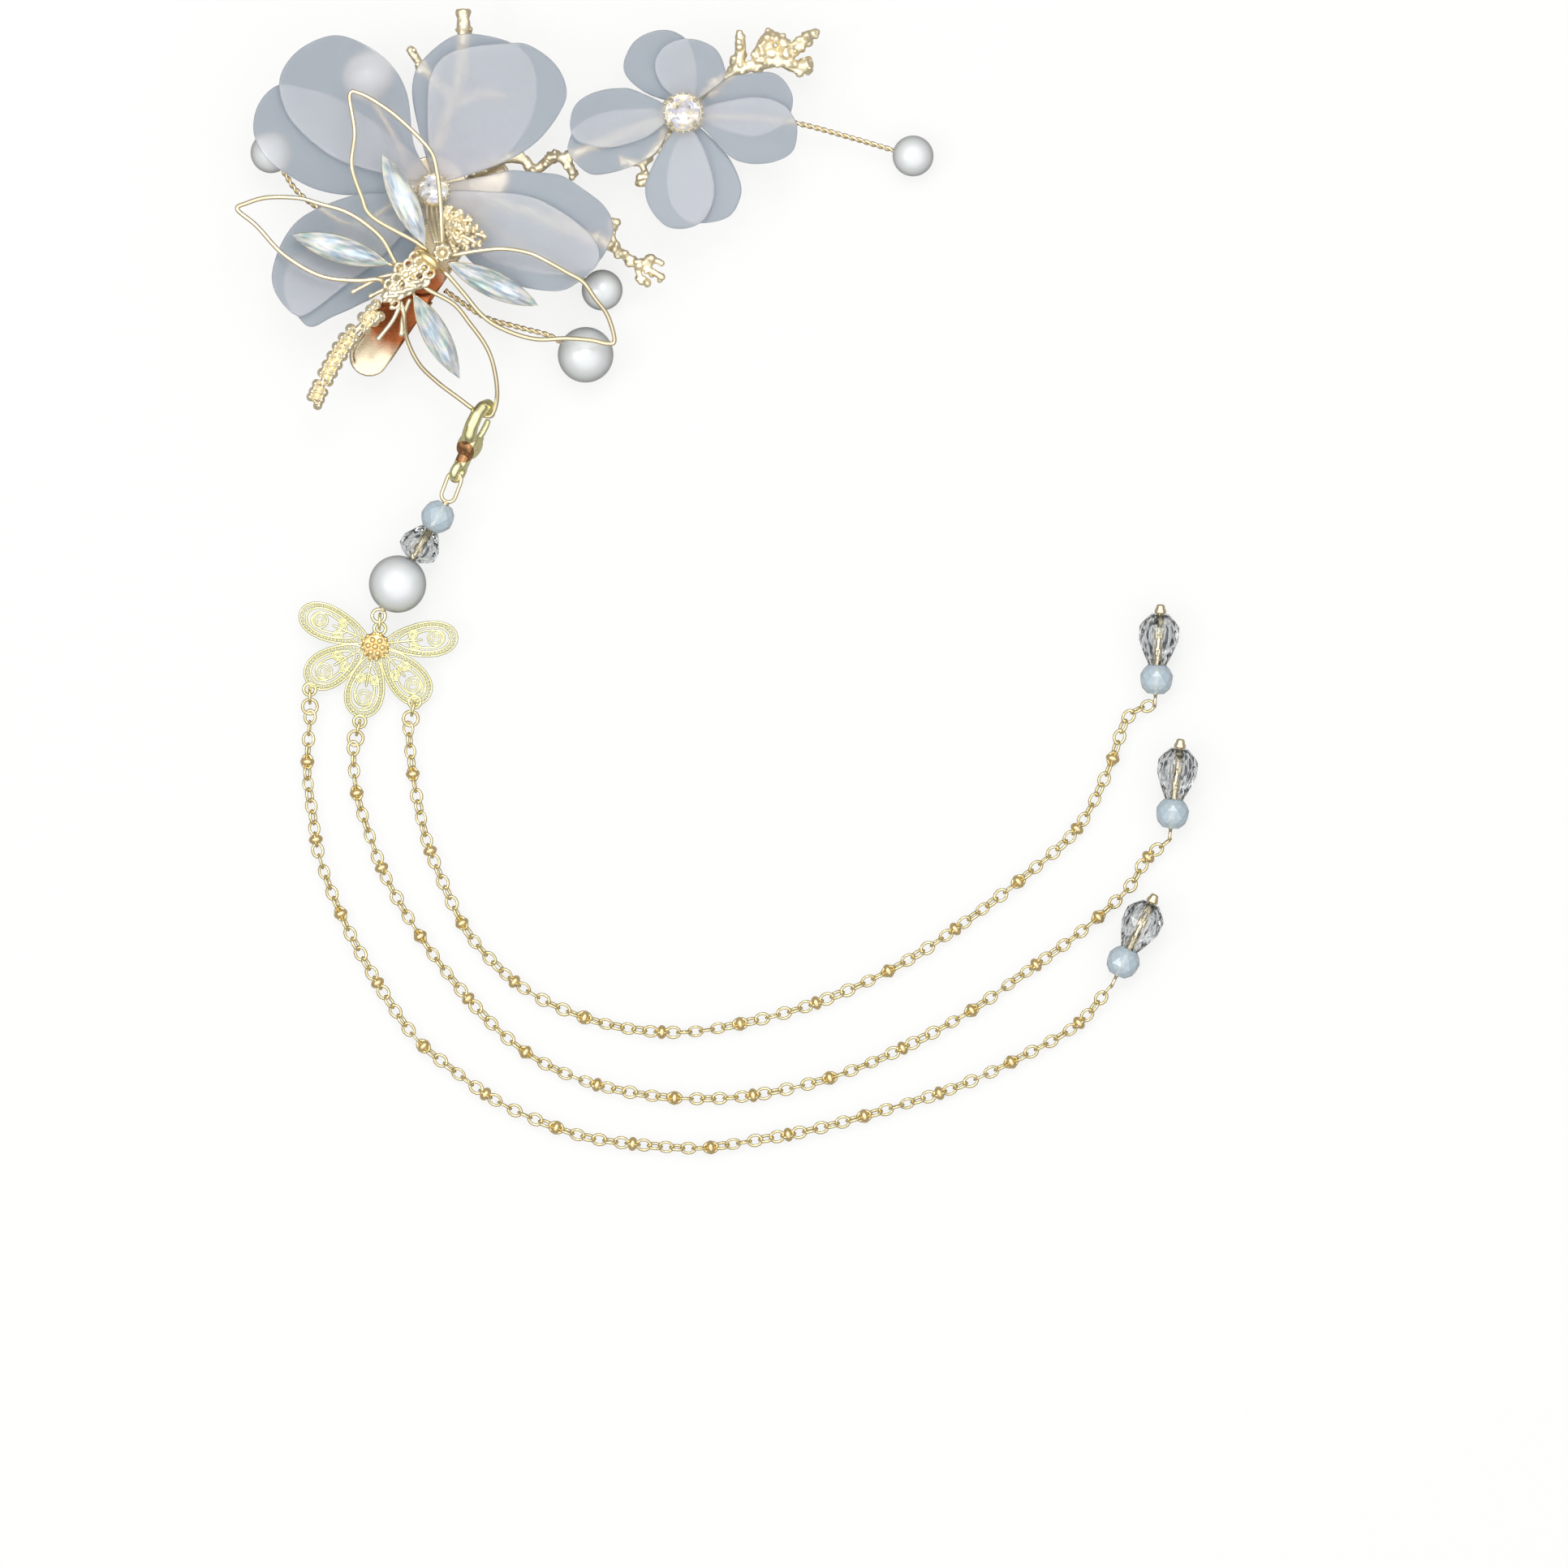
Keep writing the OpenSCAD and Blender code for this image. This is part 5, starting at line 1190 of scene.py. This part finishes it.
class CoralOperator(bpy.types.Operator):
    """Casts the coral twigs and the tuft of stamens, with nubs all over them."""

    bl_idname = "hair_clip.coral"
    bl_label = "Coral twigs"

    def execute(self, context):
        nubs = nub_tree()
        for seed, (name, twigs) in enumerate(CORAL.items()):
            shape = bmesh.new()
            for twig in twigs:
                self.add_twig(shape, *twig)
            rough = bmesh.new()
            knobbly = name in ("small", "right")
            grow(rough, shape_object(shape), nubs, plate("coral"), seed=seed + 3, smallest=0.3,
                 per_square=0.42 if knobbly else 0.28, largest=0.86 if knobbly else 0.62)
            if name in CORAL_ENDS:
                place, profile, segments = CORAL_ENDS[name]
                lathe(rough, place, profile, segments)
            if name == "small":
                for spot, girth in (((60.1, 37.6, 9), 1.35), ((61.9, 37.4, 9.1), 1.1), ((59.6, 39.3, 9), 1)):
                    ball(rough, spot, girth, 14)
            lay(f"coral_{name}_casting", cast(rough, 0.17, 2, grain=0.1, grain_size=0.7), plate("coral"),
                ["coral_" + name])
        self.add_stamens(nubs)
        return {"FINISHED"}

    def add_twig(self, shape, route, first, last):
        path = smooth_path(route, 5)
        radii = []
        for i, point in enumerate(path):
            girth = first + (last - first) * i / (len(path) - 1)
            radii.append(girth * (1.08 + 0.24 * noise.noise(point / 1.7)))
        tube(shape, path, radii)

    def add_stamens(self, nubs):
        """Post and a fan of short knobbed stamens beside the dragonfly's head."""
        shape = bmesh.new()
        tube(shape, [(2.2, 7.6, 7.5), (2.2, 7.6, 10), (2.2, 7.6, 13)], 0.8)
        root = Vector((2.2, 7.6, 12.9))
        for k, (x, y, z) in enumerate(STAMEN_TIPS):
            tip = Vector((x, y, z))
            knee = root.lerp(tip, 0.4) + Vector((0, 0, 1.1))
            branch = smooth_path([root, knee, tip], 5)
            tube(shape, branch, 0.4, 8)
            for i, point in enumerate(branch[4:]):
                side = 0.62 * (1 if (i + k) % 2 else -1)
                way = (tip - knee).normalized()
                ball(shape, point + Vector((-way.y, way.x, 0.3)) * side, 0.48 if i % 2 else 0.4, 8)
            ball(shape, tip, 0.58, 10)
        tuft = bmesh.new()
        grow(tuft, shape_object(shape), nubs, plate("coral"), seed=11, per_square=0.12, smallest=0.22,
             largest=0.36)
        lay("stamens_casting", cast(tuft, 0.12, 1, grain=0.05, grain_size=0.5), plate("coral"),
            ["stamens"])


class StemsOperator(bpy.types.Operator):
    """Twists the two-strand stems of the pearls."""

    bl_idname = "hair_clip.stems"
    bl_label = "Twisted stems"

    def execute(self, context):
        sizes = context.scene.clip_sizes
        strand = sizes.stem_strand / MM / 2
        tree = twisted_wire_tree()
        for name, route in STEMS.items():
            shape = bmesh.new()
            grow(shape, path_object([(smooth_path(route, 8), False)]), tree, plate("wire"),
                 lay_radius=strand * 0.96, strand_radius=strand, turn_length=sizes.stem_turn / MM)
            lay(f"stem_{name}_twist", shape, plate("wire"), ["stem_" + name])
        return {"FINISHED"}


def on_body(back, aside, up):
    """A place on the dragonfly: so far back from its head, so far aside and so far up."""
    spot = DRAGONFLY_HEAD + back * BACK + aside * ACROSS
    return Vector((spot.x, spot.y, BODY_Z + up))


def thorax_at(back):
    """Middle and half width of the thorax at a distance back from the head."""
    for (a, mid_a, half_a), (b, mid_b, half_b) in zip(THORAX, THORAX[1:]):
        if back <= b:
            t = max(0, (back - a) / (b - a))
            return mid_a + t * (mid_b - mid_a), half_a + t * (half_b - half_a)
    return THORAX[-1][1:]


class DragonflyOperator(bpy.types.Operator):
    """Builds the dragonfly's pierced head and thorax, its knotted tail and its legs."""

    bl_idname = "hair_clip.dragonfly"
    bl_label = "Dragonfly"

    def execute(self, context):
        shape = bmesh.new()
        self.add_head(shape)
        self.add_thorax(shape)
        self.add_tail(shape)
        for leg in LEGS:
            tube(shape, smooth_path(leg, 5), 0.42, 8)
            ball(shape, leg[-1], 0.55, 10)
        body = cast(shape, 0.11, 1)
        second_finish(body, self.on_collar)
        lay("dragonfly_casting", body, [plate("cast"), plate("warm")], ["dragonfly_body"])
        return {"FINISHED"}

    def on_collar(self, face):
        away = face.calc_center_median() - on_body(2.6, -0.7, 0)
        return abs(away.xy.dot(BACK)) < 0.95 and abs(away.xy.dot(ACROSS)) < 2.7 and away.z > 0.2

    def add_head(self, shape):
        """Pierced cup with a beaded rim, and a smooth collar behind it."""
        ball(shape, on_body(0, 0, -1.5), 1.45)
        torus(shape, Matrix.Translation(on_body(0, 0, 0.5)), 1.1, 0.5, 24, 10)
        for spot in around(8, 1.25):
            ball(shape, on_body(spot.x, spot.y, 0.95), 0.5, 10)
        collar = [on_body(*p) for p in ((3.2, -2.9, -0.2), (2.7, -1.6, 0.9), (2.4, 0, 1.25), (2.5, 1.2, 0.6))]
        tube(shape, smooth_path(collar, 6), 0.85, 14)

    def add_thorax(self, shape):
        """Slim core under small rings laid like lace, so that their holes stay dark, and four bars across."""
        core = [on_body(back, thorax_at(back)[0] - 0.3, -0.75) for back in (3.4, 5.4, 7.6, 9.8, 12, 13)]
        tube(shape, smooth_path(core, 4), 1.5, 14)
        for i in range(6):
            back = 4.1 + 1.62 * i
            mid, half = thorax_at(back)
            count = max(2, round(half * 1.15))
            for k in range(count):
                share = 2 * (k + 0.5 * (i % 2) + 0.25) / count - 1
                self.add_lace_ring(shape, back, mid + share * half * 0.92, share)
        for near, near_side, far, far_side in ((5.2, 1.9, 8.6, -0.6), (6.6, 2, 10.6, -0.4),
                                               (9.8, 1.2, 13.2, -1.6), (8, 1.6, 12.2, -1.4)):
            bar = [on_body(near, near_side, 0.2), on_body((near + far) / 2, (near_side + far_side) / 2, 1.55),
                   on_body(far, far_side, 0.5)]
            tube(shape, smooth_path(bar, 5), 0.42, 10)

    def add_lace_ring(self, shape, back, aside, share):
        """One small ring that leans outwards with the thorax, and a grain beside it."""
        spot = on_body(back, aside, 1.35 * math.sqrt(max(0.05, 1 - share * share)) - 0.25)
        lean = Matrix.Rotation(share * 0.9, 4, BACK.to_3d())
        torus(shape, Matrix.Translation(spot) @ lean, 0.78, 0.31, 16, 8)
        ball(shape, spot + 0.85 * BACK.to_3d() + Vector((0, 0, 0.2)), 0.5, 10)

    def add_tail(self, shape):
        """Two rows of round knots on a core, widest at the thorax."""
        tail = smooth_path(TAIL, 12)
        count = len(tail)
        core = [Vector((p.x, p.y, BODY_Z - 0.04 * i)) for i, p in enumerate(tail)]
        tube(shape, [p - Vector((0, 0, 0.5)) for p in core], 0.62, 10)
        knots = 12
        for k in range(knots):
            i = round(k * (count - 2) / (knots - 1))
            way = (tail[i + 1] - tail[i]).normalized()
            across = Vector((-way.y, way.x))
            girth = 1 - 0.16 * i / count
            for side in (-1, 1):
                spot = tail[i] + across * side * girth + way * side * 0.45
                ball(shape, (spot.x, spot.y, core[i].z + 0.2), girth, 12)
                ball(shape, (spot.x + 0.2 * side, spot.y, core[i].z + 1), 0.42, 8)


def navette_edge(length, width, steps, height):
    """Pointed oval of two arcs at a height."""
    radius = (length ** 2 + width ** 2) / (4 * width)
    reach = math.asin(length / 2 / radius)
    angles = [-reach + 2 * reach * k / steps for k in range(steps + 1)]
    upper = [(radius * math.sin(a), radius * math.cos(a) - radius + width / 2, height) for a in angles]
    return upper + [(x, -y, z) for x, y, z in reversed(upper[1:-1])]


class WingsOperator(bpy.types.Operator):
    """Bends the wing wires, their trays and rims, and cuts the pointed opal stones."""

    bl_idname = "hair_clip.wings"
    bl_label = "Wings"

    def execute(self, context):
        wire = context.scene.clip_sizes.wing_wire / MM / 2
        stones = bmesh.new()
        for name, route in WINGS.items():
            centre, turn, slope, reach = NAVETTES[name]
            place = Matrix.Translation(centre) @ turn_about(turn) @ turn_about(slope, "Y")
            start, end = WING_ROOTS[name]
            shape = bmesh.new()
            tube(shape, smooth_path([start, *route, end], 8), wire)
            self.add_tray(shape, place, reach)
            lay(f"wing_{name}_wire", shape, plate("wire"), ["wing_" + name])
            self.cut_navette(stones, place)
        self.add_neck_wires(wire)
        lay("wing_stones_opal", stones, opal_glass(), ["wing_stones"], smooth=False)
        return {"FINISHED"}

    def add_tray(self, shape, place, reach):
        """Thin plate behind the stone, a low rim round it and the stalk to the thorax."""
        low, high = ([shape.verts.new(p) for p in moved(place, navette_edge(NAVETTE_LENGTH - 0.5,
                                                                            NAVETTE_WIDTH - 0.3, 16, height))]
                     for height in (-1.4, -0.85))
        shape.faces.new(reversed(low))
        shape.faces.new(high)
        for k in range(len(low)):
            m = (k + 1) % len(low)
            shape.faces.new((low[k], low[m], high[m], high[k]))
        rim = navette_edge(NAVETTE_LENGTH - 0.3, NAVETTE_WIDTH - 0.2, 16, -0.62)
        tube(shape, moved(place, rim), 0.2, 8, closed=True)
        tip = -NAVETTE_LENGTH / 2
        tube(shape, moved(place, [(tip - reach, 0, -1.1), (tip, 0, -1.1), (tip + 2.6, 0, -1.1)]), 0.32, 8)

    def add_neck_wires(self, wire):
        """Wires wrapped side by side from the large flower's setting to the dragonfly's head."""
        shape = bmesh.new()
        for k in range(4):
            shift = 0.84 * (k - 1.5)
            path = [(0.7 + shift, 11.4, 12.2), (0.9 + shift, 9, 13.6), (1.3 + 0.8 * shift, 6.4, 15.6),
                    (1.7 + 0.5 * shift, 4, 17)]
            tube(shape, smooth_path(path, 6), wire * 0.8, 10)
        lay("neck_wires", shape, plate("cast"), [])

    def cut_navette(self, shape, place):
        """Long facets fall from a narrow table to the girdle."""
        corners = []
        for length, width, steps, height in (
                (NAVETTE_LENGTH, NAVETTE_WIDTH, 10, 0.05), (NAVETTE_LENGTH, NAVETTE_WIDTH, 10, 0.25),
                (NAVETTE_LENGTH - 2, NAVETTE_WIDTH - 1.6, 6, -0.72),
                (NAVETTE_LENGTH * 0.78, NAVETTE_WIDTH * 0.66, 5, 0.92),
                (NAVETTE_LENGTH * 0.58, NAVETTE_WIDTH * 0.3, 4, 1.3)):
            corners += navette_edge(length, width, steps, height)
        hull(shape, place, corners)


class ClaspOperator(bpy.types.Operator):
    """Rounds the lobster clasp and its lever as polished castings."""

    bl_idname = "hair_clip.clasp"
    bl_label = "Clasp"

    def execute(self, context):
        for node, voxel, rounds, more, body in (("clasp_body", 0.09, 40, 0.5, HEAD),
                                                ("clasp_lever", 0.07, 16, 0.2, "clasp_lever")):
            shape = self.swell(cast(from_node(node), voxel, rounds), more)
            second_finish(shape, lambda face: (face.calc_center_median().xy - CLASP_PIVOT).length < PIVOT_TONE_R)
            lay(node + "_casting", shape, [plate("lemon"), plate("worn")], [node], body=body)
        return {"FINISHED"}

    def swell(self, shape, more):
        """Fuller limbs, as polishing leaves them."""
        shape.normal_update()
        for vert, move in [(vert, vert.normal * more) for vert in shape.verts]:
            vert.co += move
        return shape


def on_string(at):
    """A place on the drop's pin, so far below the end of the long loop."""
    reach = LOOP_REACH + LOOP_R + LOOP_WIRE_R + 0.1
    top = along(DROP_TOP, LOOP_TURN, DROP_SLOPE) @ Vector((0, 0, reach))
    return along(top, DROP_TURN, DROP_SLOPE) @ Matrix.Translation((0, 0, at))


def on_end(name, at):
    """A place on an end drop, so far from the loop of its pin."""
    (x, y), turn = ENDS[name]
    return along((x, y, END_Z), turn, -END_TILT) @ Matrix.Translation((0, 0, at))


class DropOperator(bpy.types.Operator):
    """Strings the blue bead and the crystal on their pin, with its loops and ring."""

    bl_idname = "hair_clip.drop"
    bl_label = "Bead drop"

    def execute(self, context):
        shape = bmesh.new()
        self.add_long_loop(shape)
        pearl_end = PEARL_AT + DROP_PEARL / 2
        tube(shape, [on_string(at).translation for at in (-0.5, 5, pearl_end + 0.35)], 0.55)
        torus(shape, on_string(pearl_end + 1.45) @ turn_about(90, "Y"), 1.15, 0.31)
        self.add_wraps(shape, on_string(-0.05), -1)
        self.add_wraps(shape, on_string(pearl_end - 0.15), 1)
        lay("drop_pin_wire", shape, plate("wire"), ["drop_pin"])
        bead = bmesh.new()
        cut_bead(bead, on_string(GAP), BEAD_ROWS, BEAD_WIDTH, BEAD_LENGTH)
        lay("drop_blue_bead_glass", bead, blue_opal_glass(), ["drop_blue_bead"], smooth=False)
        crystal = bmesh.new()
        cut_bead(crystal, on_string(CRYSTAL_AT), CRYSTAL_ROWS, CRYSTAL_WIDTH, DROP_CRYSTAL_LENGTH)
        lay("drop_crystal_glass", crystal, clear_crystal(), ["drop_crystal"], smooth=False)
        ring = bmesh.new()
        place = Matrix.Translation((-8.85, -62.35, 4.15)) @ turn_about(87) @ turn_about(90, "X")
        torus(ring, place, 1.35, 0.28)
        lay("drop_ring_wire", ring, plate("lemon"), ["drop_ring"])
        return {"FINISHED"}

    def add_long_loop(self, shape):
        place = along(DROP_TOP, LOOP_TURN, DROP_SLOPE) @ turn_about(90, "Y")
        half_turn = [math.radians(a) for a in range(0, 181, 15)]
        arc = [(LOOP_R * math.sin(a), LOOP_R * math.cos(a)) for a in half_turn]
        path = [(x, y, 0) for x, y in arc] + [(-LOOP_REACH - x, -y, 0) for x, y in arc]
        tube(shape, moved(place, path), LOOP_WIRE_R * 0.97, closed=True)

    def add_wraps(self, shape, place, way):
        """Two close turns of wire at the mouth of a loop."""
        coil = [(0.5 * math.cos(math.tau * k / 12), 0.5 * math.sin(math.tau * k / 12), way * 0.022 * k)
                for k in range(20)]
        tube(shape, moved(place, coil), 0.2, 8)


def on_fly():
    return Matrix.Translation(FLY_AT) @ turn_about(FLY_TURN) @ turn_about(FLY_TILT, "X")


class ButterflyOperator(bpy.types.Operator):
    """Lays the filigree butterfly: double outlines, scrolls, granules and a rosette."""

    bl_idname = "hair_clip.butterfly"
    bl_label = "Filigree butterfly"

    def execute(self, context):
        sizes = context.scene.clip_sizes
        grain = sizes.granule / MM / 2
        shape = bmesh.new()
        rows = []
        for lobe in FLY_LOBES:
            self.add_lobe(shape, lobe, sizes.filigree_wire / MM / 2)
            rows.append((self.outline(lobe, 0.85, 0.5), True))
        grow(shape, path_object(rows), granule_tree(), plate("lemon"), pitch=grain * 2.1,
             granule_radius=grain, detail=1)
        filigree = set(shape.faces)
        self.add_rosette(shape)
        second_finish(shape, lambda face: face not in filigree)
        for x, y, radius in [(*eye, 1.05) for eye in FLY_EYES] + [(0.3, 3.2, 1)]:
            torus(shape, on_fly() @ Matrix.Translation((x, y, 0.4)), radius, 0.3, 28, 10)
        lay("butterfly_filigree", shape, [plate("lemon"), plate("warm")], ["butterfly"])
        return {"FINISHED"}

    def outline(self, lobe, share, height):
        """Egg-shaped line inside a lobe, at a share of its size."""
        (cx, cy), turn, length, width = lobe
        points = []
        for k in range(28):
            a = math.tau * k / 28
            points.append((share * length / 2 * math.cos(a) + (1 - share) * 0.12 * length,
                           share * width / 2 * math.sin(a) * (1 + 0.3 * math.cos(a)), height))
        return moved(on_fly() @ Matrix.Translation((cx, cy, 0)) @ turn_about(turn), points)

    def add_lobe(self, shape, lobe, wire):
        """Double outline, a ring in the broad end and a pair of scrolls towards the rosette."""
        for share, height in ((0.97, 0.3), (0.72, 0.35), (0.5, 0.3)):
            tube(shape, self.outline(lobe, share, height), wire, 8, closed=True)
        (cx, cy), turn, length, width = lobe
        inner = on_fly() @ Matrix.Translation((cx, cy, 0.35)) @ turn_about(turn)
        scrolls = [curl(44, 2.6, lambda t: 0.27 * width * (1 - 0.8 * t), (0.2 * length, 0), 0.15)]
        for side in (-1, 1):
            scrolls.append(curl(26, 2.4 * side, lambda t: 0.16 * width * (1 - 0.75 * t),
                                (-0.1 * length, side * 0.17 * width), 0.05))
        for scroll in scrolls:
            tube(shape, moved(inner, scroll), wire * 0.8, 6)
        tube(shape, moved(inner, [(x * length, 0, 0) for x in (-0.46, -0.25, 0.02)]), wire, 8)

    def add_rosette(self, shape):
        place = on_fly()
        lathe(shape, place, [(0, 0.1), (2.3, 0.1), (2.4, 0.35), (2.1, 0.7), (1.2, 0.95), (0, 1)], 32)
        ball(shape, place @ Vector((0, 0, 1)), 0.62, 14)
        for spot in moved(place, around(6, 1.25, 0.95)):
            ball(shape, spot, 0.56, 12)
        for spot in moved(place, around(12, 2.25, 0.6, 0.5)):
            ball(shape, spot, 0.4, 10)


class JumpRingsOperator(bpy.types.Operator):
    """Closes two linked rings between each eye of the butterfly and its chain."""

    bl_idname = "hair_clip.jump_rings"
    bl_label = "Jump rings"

    def execute(self, context):
        shape = bmesh.new()
        for eye, route in zip(FLY_EYES, CHAINS.values()):
            spot = on_fly() @ Vector((*eye, 0.4))
            way = (Vector(route[0]) - spot.xy).normalized().to_3d()
            turn = turn_about(math.degrees(math.atan2(way.y, way.x)))
            first = Vector((spot.x, spot.y, max(spot.z - 0.1, 1.65))) + way * 1.15
            for at, tilt in ((first, turn_about(90, "X")), (first + way * 1.9, turn_about(8, "Y"))):
                torus(shape, Matrix.Translation(at) @ turn @ tilt, 1.3, 0.28)
        lay("jump_rings_wire", shape, plate("chain"), ["jump_rings"])
        return {"FINISHED"}


class ChainsOperator(bpy.types.Operator):
    """Lays the three hanging chains, link by link, with their spacer beads."""

    bl_idname = "hair_clip.chains"
    bl_label = "Chains"

    def execute(self, context):
        sizes = context.scene.clip_sizes
        links, spacers = chain_tree(), spacer_tree()
        for seed, (name, route) in enumerate(CHAINS.items()):
            heights = [CHAIN_START_Z] + [CHAIN_Z] * (len(route) - 2) + [CHAIN_END_Z]
            path = smooth_path([(x, y, z) for (x, y), z in zip(route, heights)], 8)
            length = sum((b - a).length for a, b in zip(path, path[1:]))
            # A hair short of an even share, so that the last link isn't left out
            pitch = 0.9999 * length / round(length / (sizes.link_pitch / MM))
            shape = bmesh.new()
            grow(shape, path_object([(path, False)]), links, plate("chain"), pitch=pitch,
                 link_length=sizes.link_length / MM, link_width=sizes.link_width / MM,
                 wire=sizes.link_wire / MM, sway=0.3, seed=seed + 1)
            made = set(shape.faces)
            grow(shape, path_object([(path, False)]), spacers, plate("warm"), pitch=pitch,
                 spacer_every=sizes.spacer_every, spacer=sizes.spacer / MM,
                 thickness=0.68 * sizes.spacer / MM)
            second_finish(shape, lambda face: face not in made)
            lay(f"chain_{name}_links", shape, [plate("chain"), plate("warm")],
                ["chain_" + name])
        return {"FINISHED"}


class ChainEndsOperator(bpy.types.Operator):
    """Makes the end drops: pin, loop, cap, blue bead and long crystal."""

    bl_idname = "hair_clip.chain_ends"
    bl_label = "Chain ends"

    def execute(self, context):
        pins = bmesh.new()
        beads = bmesh.new()
        cap_at = END_BEAD_AT + BEAD_LENGTH + END_CRYSTAL_LENGTH + 3 * GAP
        for name in ENDS:
            torus(pins, on_end(name, 0) @ turn_about(90, "X"), 1, 0.29)
            tube(pins, [on_end(name, at).translation for at in (0.9, 5, cap_at + 0.4)], 0.5)
            lathe(pins, on_end(name, cap_at), [(0, 0), (0.95, 0), (1.05, 0.2), (1, 0.6), (0.8, 0.95),
                                               (0.75, 1.3), (0.55, 1.58), (0, 1.6)], 24)
            cut_bead(beads, on_end(name, END_BEAD_AT), BEAD_ROWS, BEAD_WIDTH, BEAD_LENGTH)
            crystal = bmesh.new()
            cut_bead(crystal, on_end(name, END_BEAD_AT + BEAD_LENGTH + GAP), CRYSTAL_ROWS, CRYSTAL_WIDTH,
                     END_CRYSTAL_LENGTH)
            lay(f"end_crystal_{name}_glass", crystal, clear_crystal(),
                ["end_crystal_" + name], smooth=False)
        lay("end_pins_wire", pins, plate("wire"), ["end_pins"])
        lay("end_blue_beads_glass", beads, blue_opal_glass(), ["end_blue_beads"], smooth=False)
        return {"FINISHED"}


STEPS = (
    StageOperator, ClipOperator, PetalsOperator, PearlsOperator, StonesOperator, CoralOperator, StemsOperator,
    DragonflyOperator, WingsOperator, ClaspOperator, DropOperator, ButterflyOperator, JumpRingsOperator,
    ChainsOperator, ChainEndsOperator,
)


class HairClipPanel(bpy.types.Panel):
    """Lists the sizes, the colours and the steps."""

    bl_idname = "VIEW3D_PT_hair_clip"
    bl_label = "Hair Clip"
    bl_space_type = "VIEW_3D"
    bl_region_type = "UI"
    bl_category = "Hair Clip"

    def draw(self, context):
        layout = self.layout
        for group in (context.scene.clip_sizes, context.scene.clip_colours):
            for name in group.__annotations__:
                layout.prop(group, name)
        for step in STEPS:
            layout.operator(step.bl_idname)


CLASSES = (ClipSizes, ClipColours, *STEPS, HairClipPanel)


def register():
    for item in CLASSES:
        bpy.utils.register_class(item)
    bpy.types.Scene.clip_sizes = PointerProperty(type=ClipSizes)
    bpy.types.Scene.clip_colours = PointerProperty(type=ClipColours)


def unregister():
    del bpy.types.Scene.clip_colours
    del bpy.types.Scene.clip_sizes
    for item in reversed(CLASSES):
        bpy.utils.unregister_class(item)


def main():
    register()
    for step in STEPS:
        group, name = step.bl_idname.split(".")
        getattr(getattr(bpy.ops, group), name)()


if __name__ == "__main__":
    main()
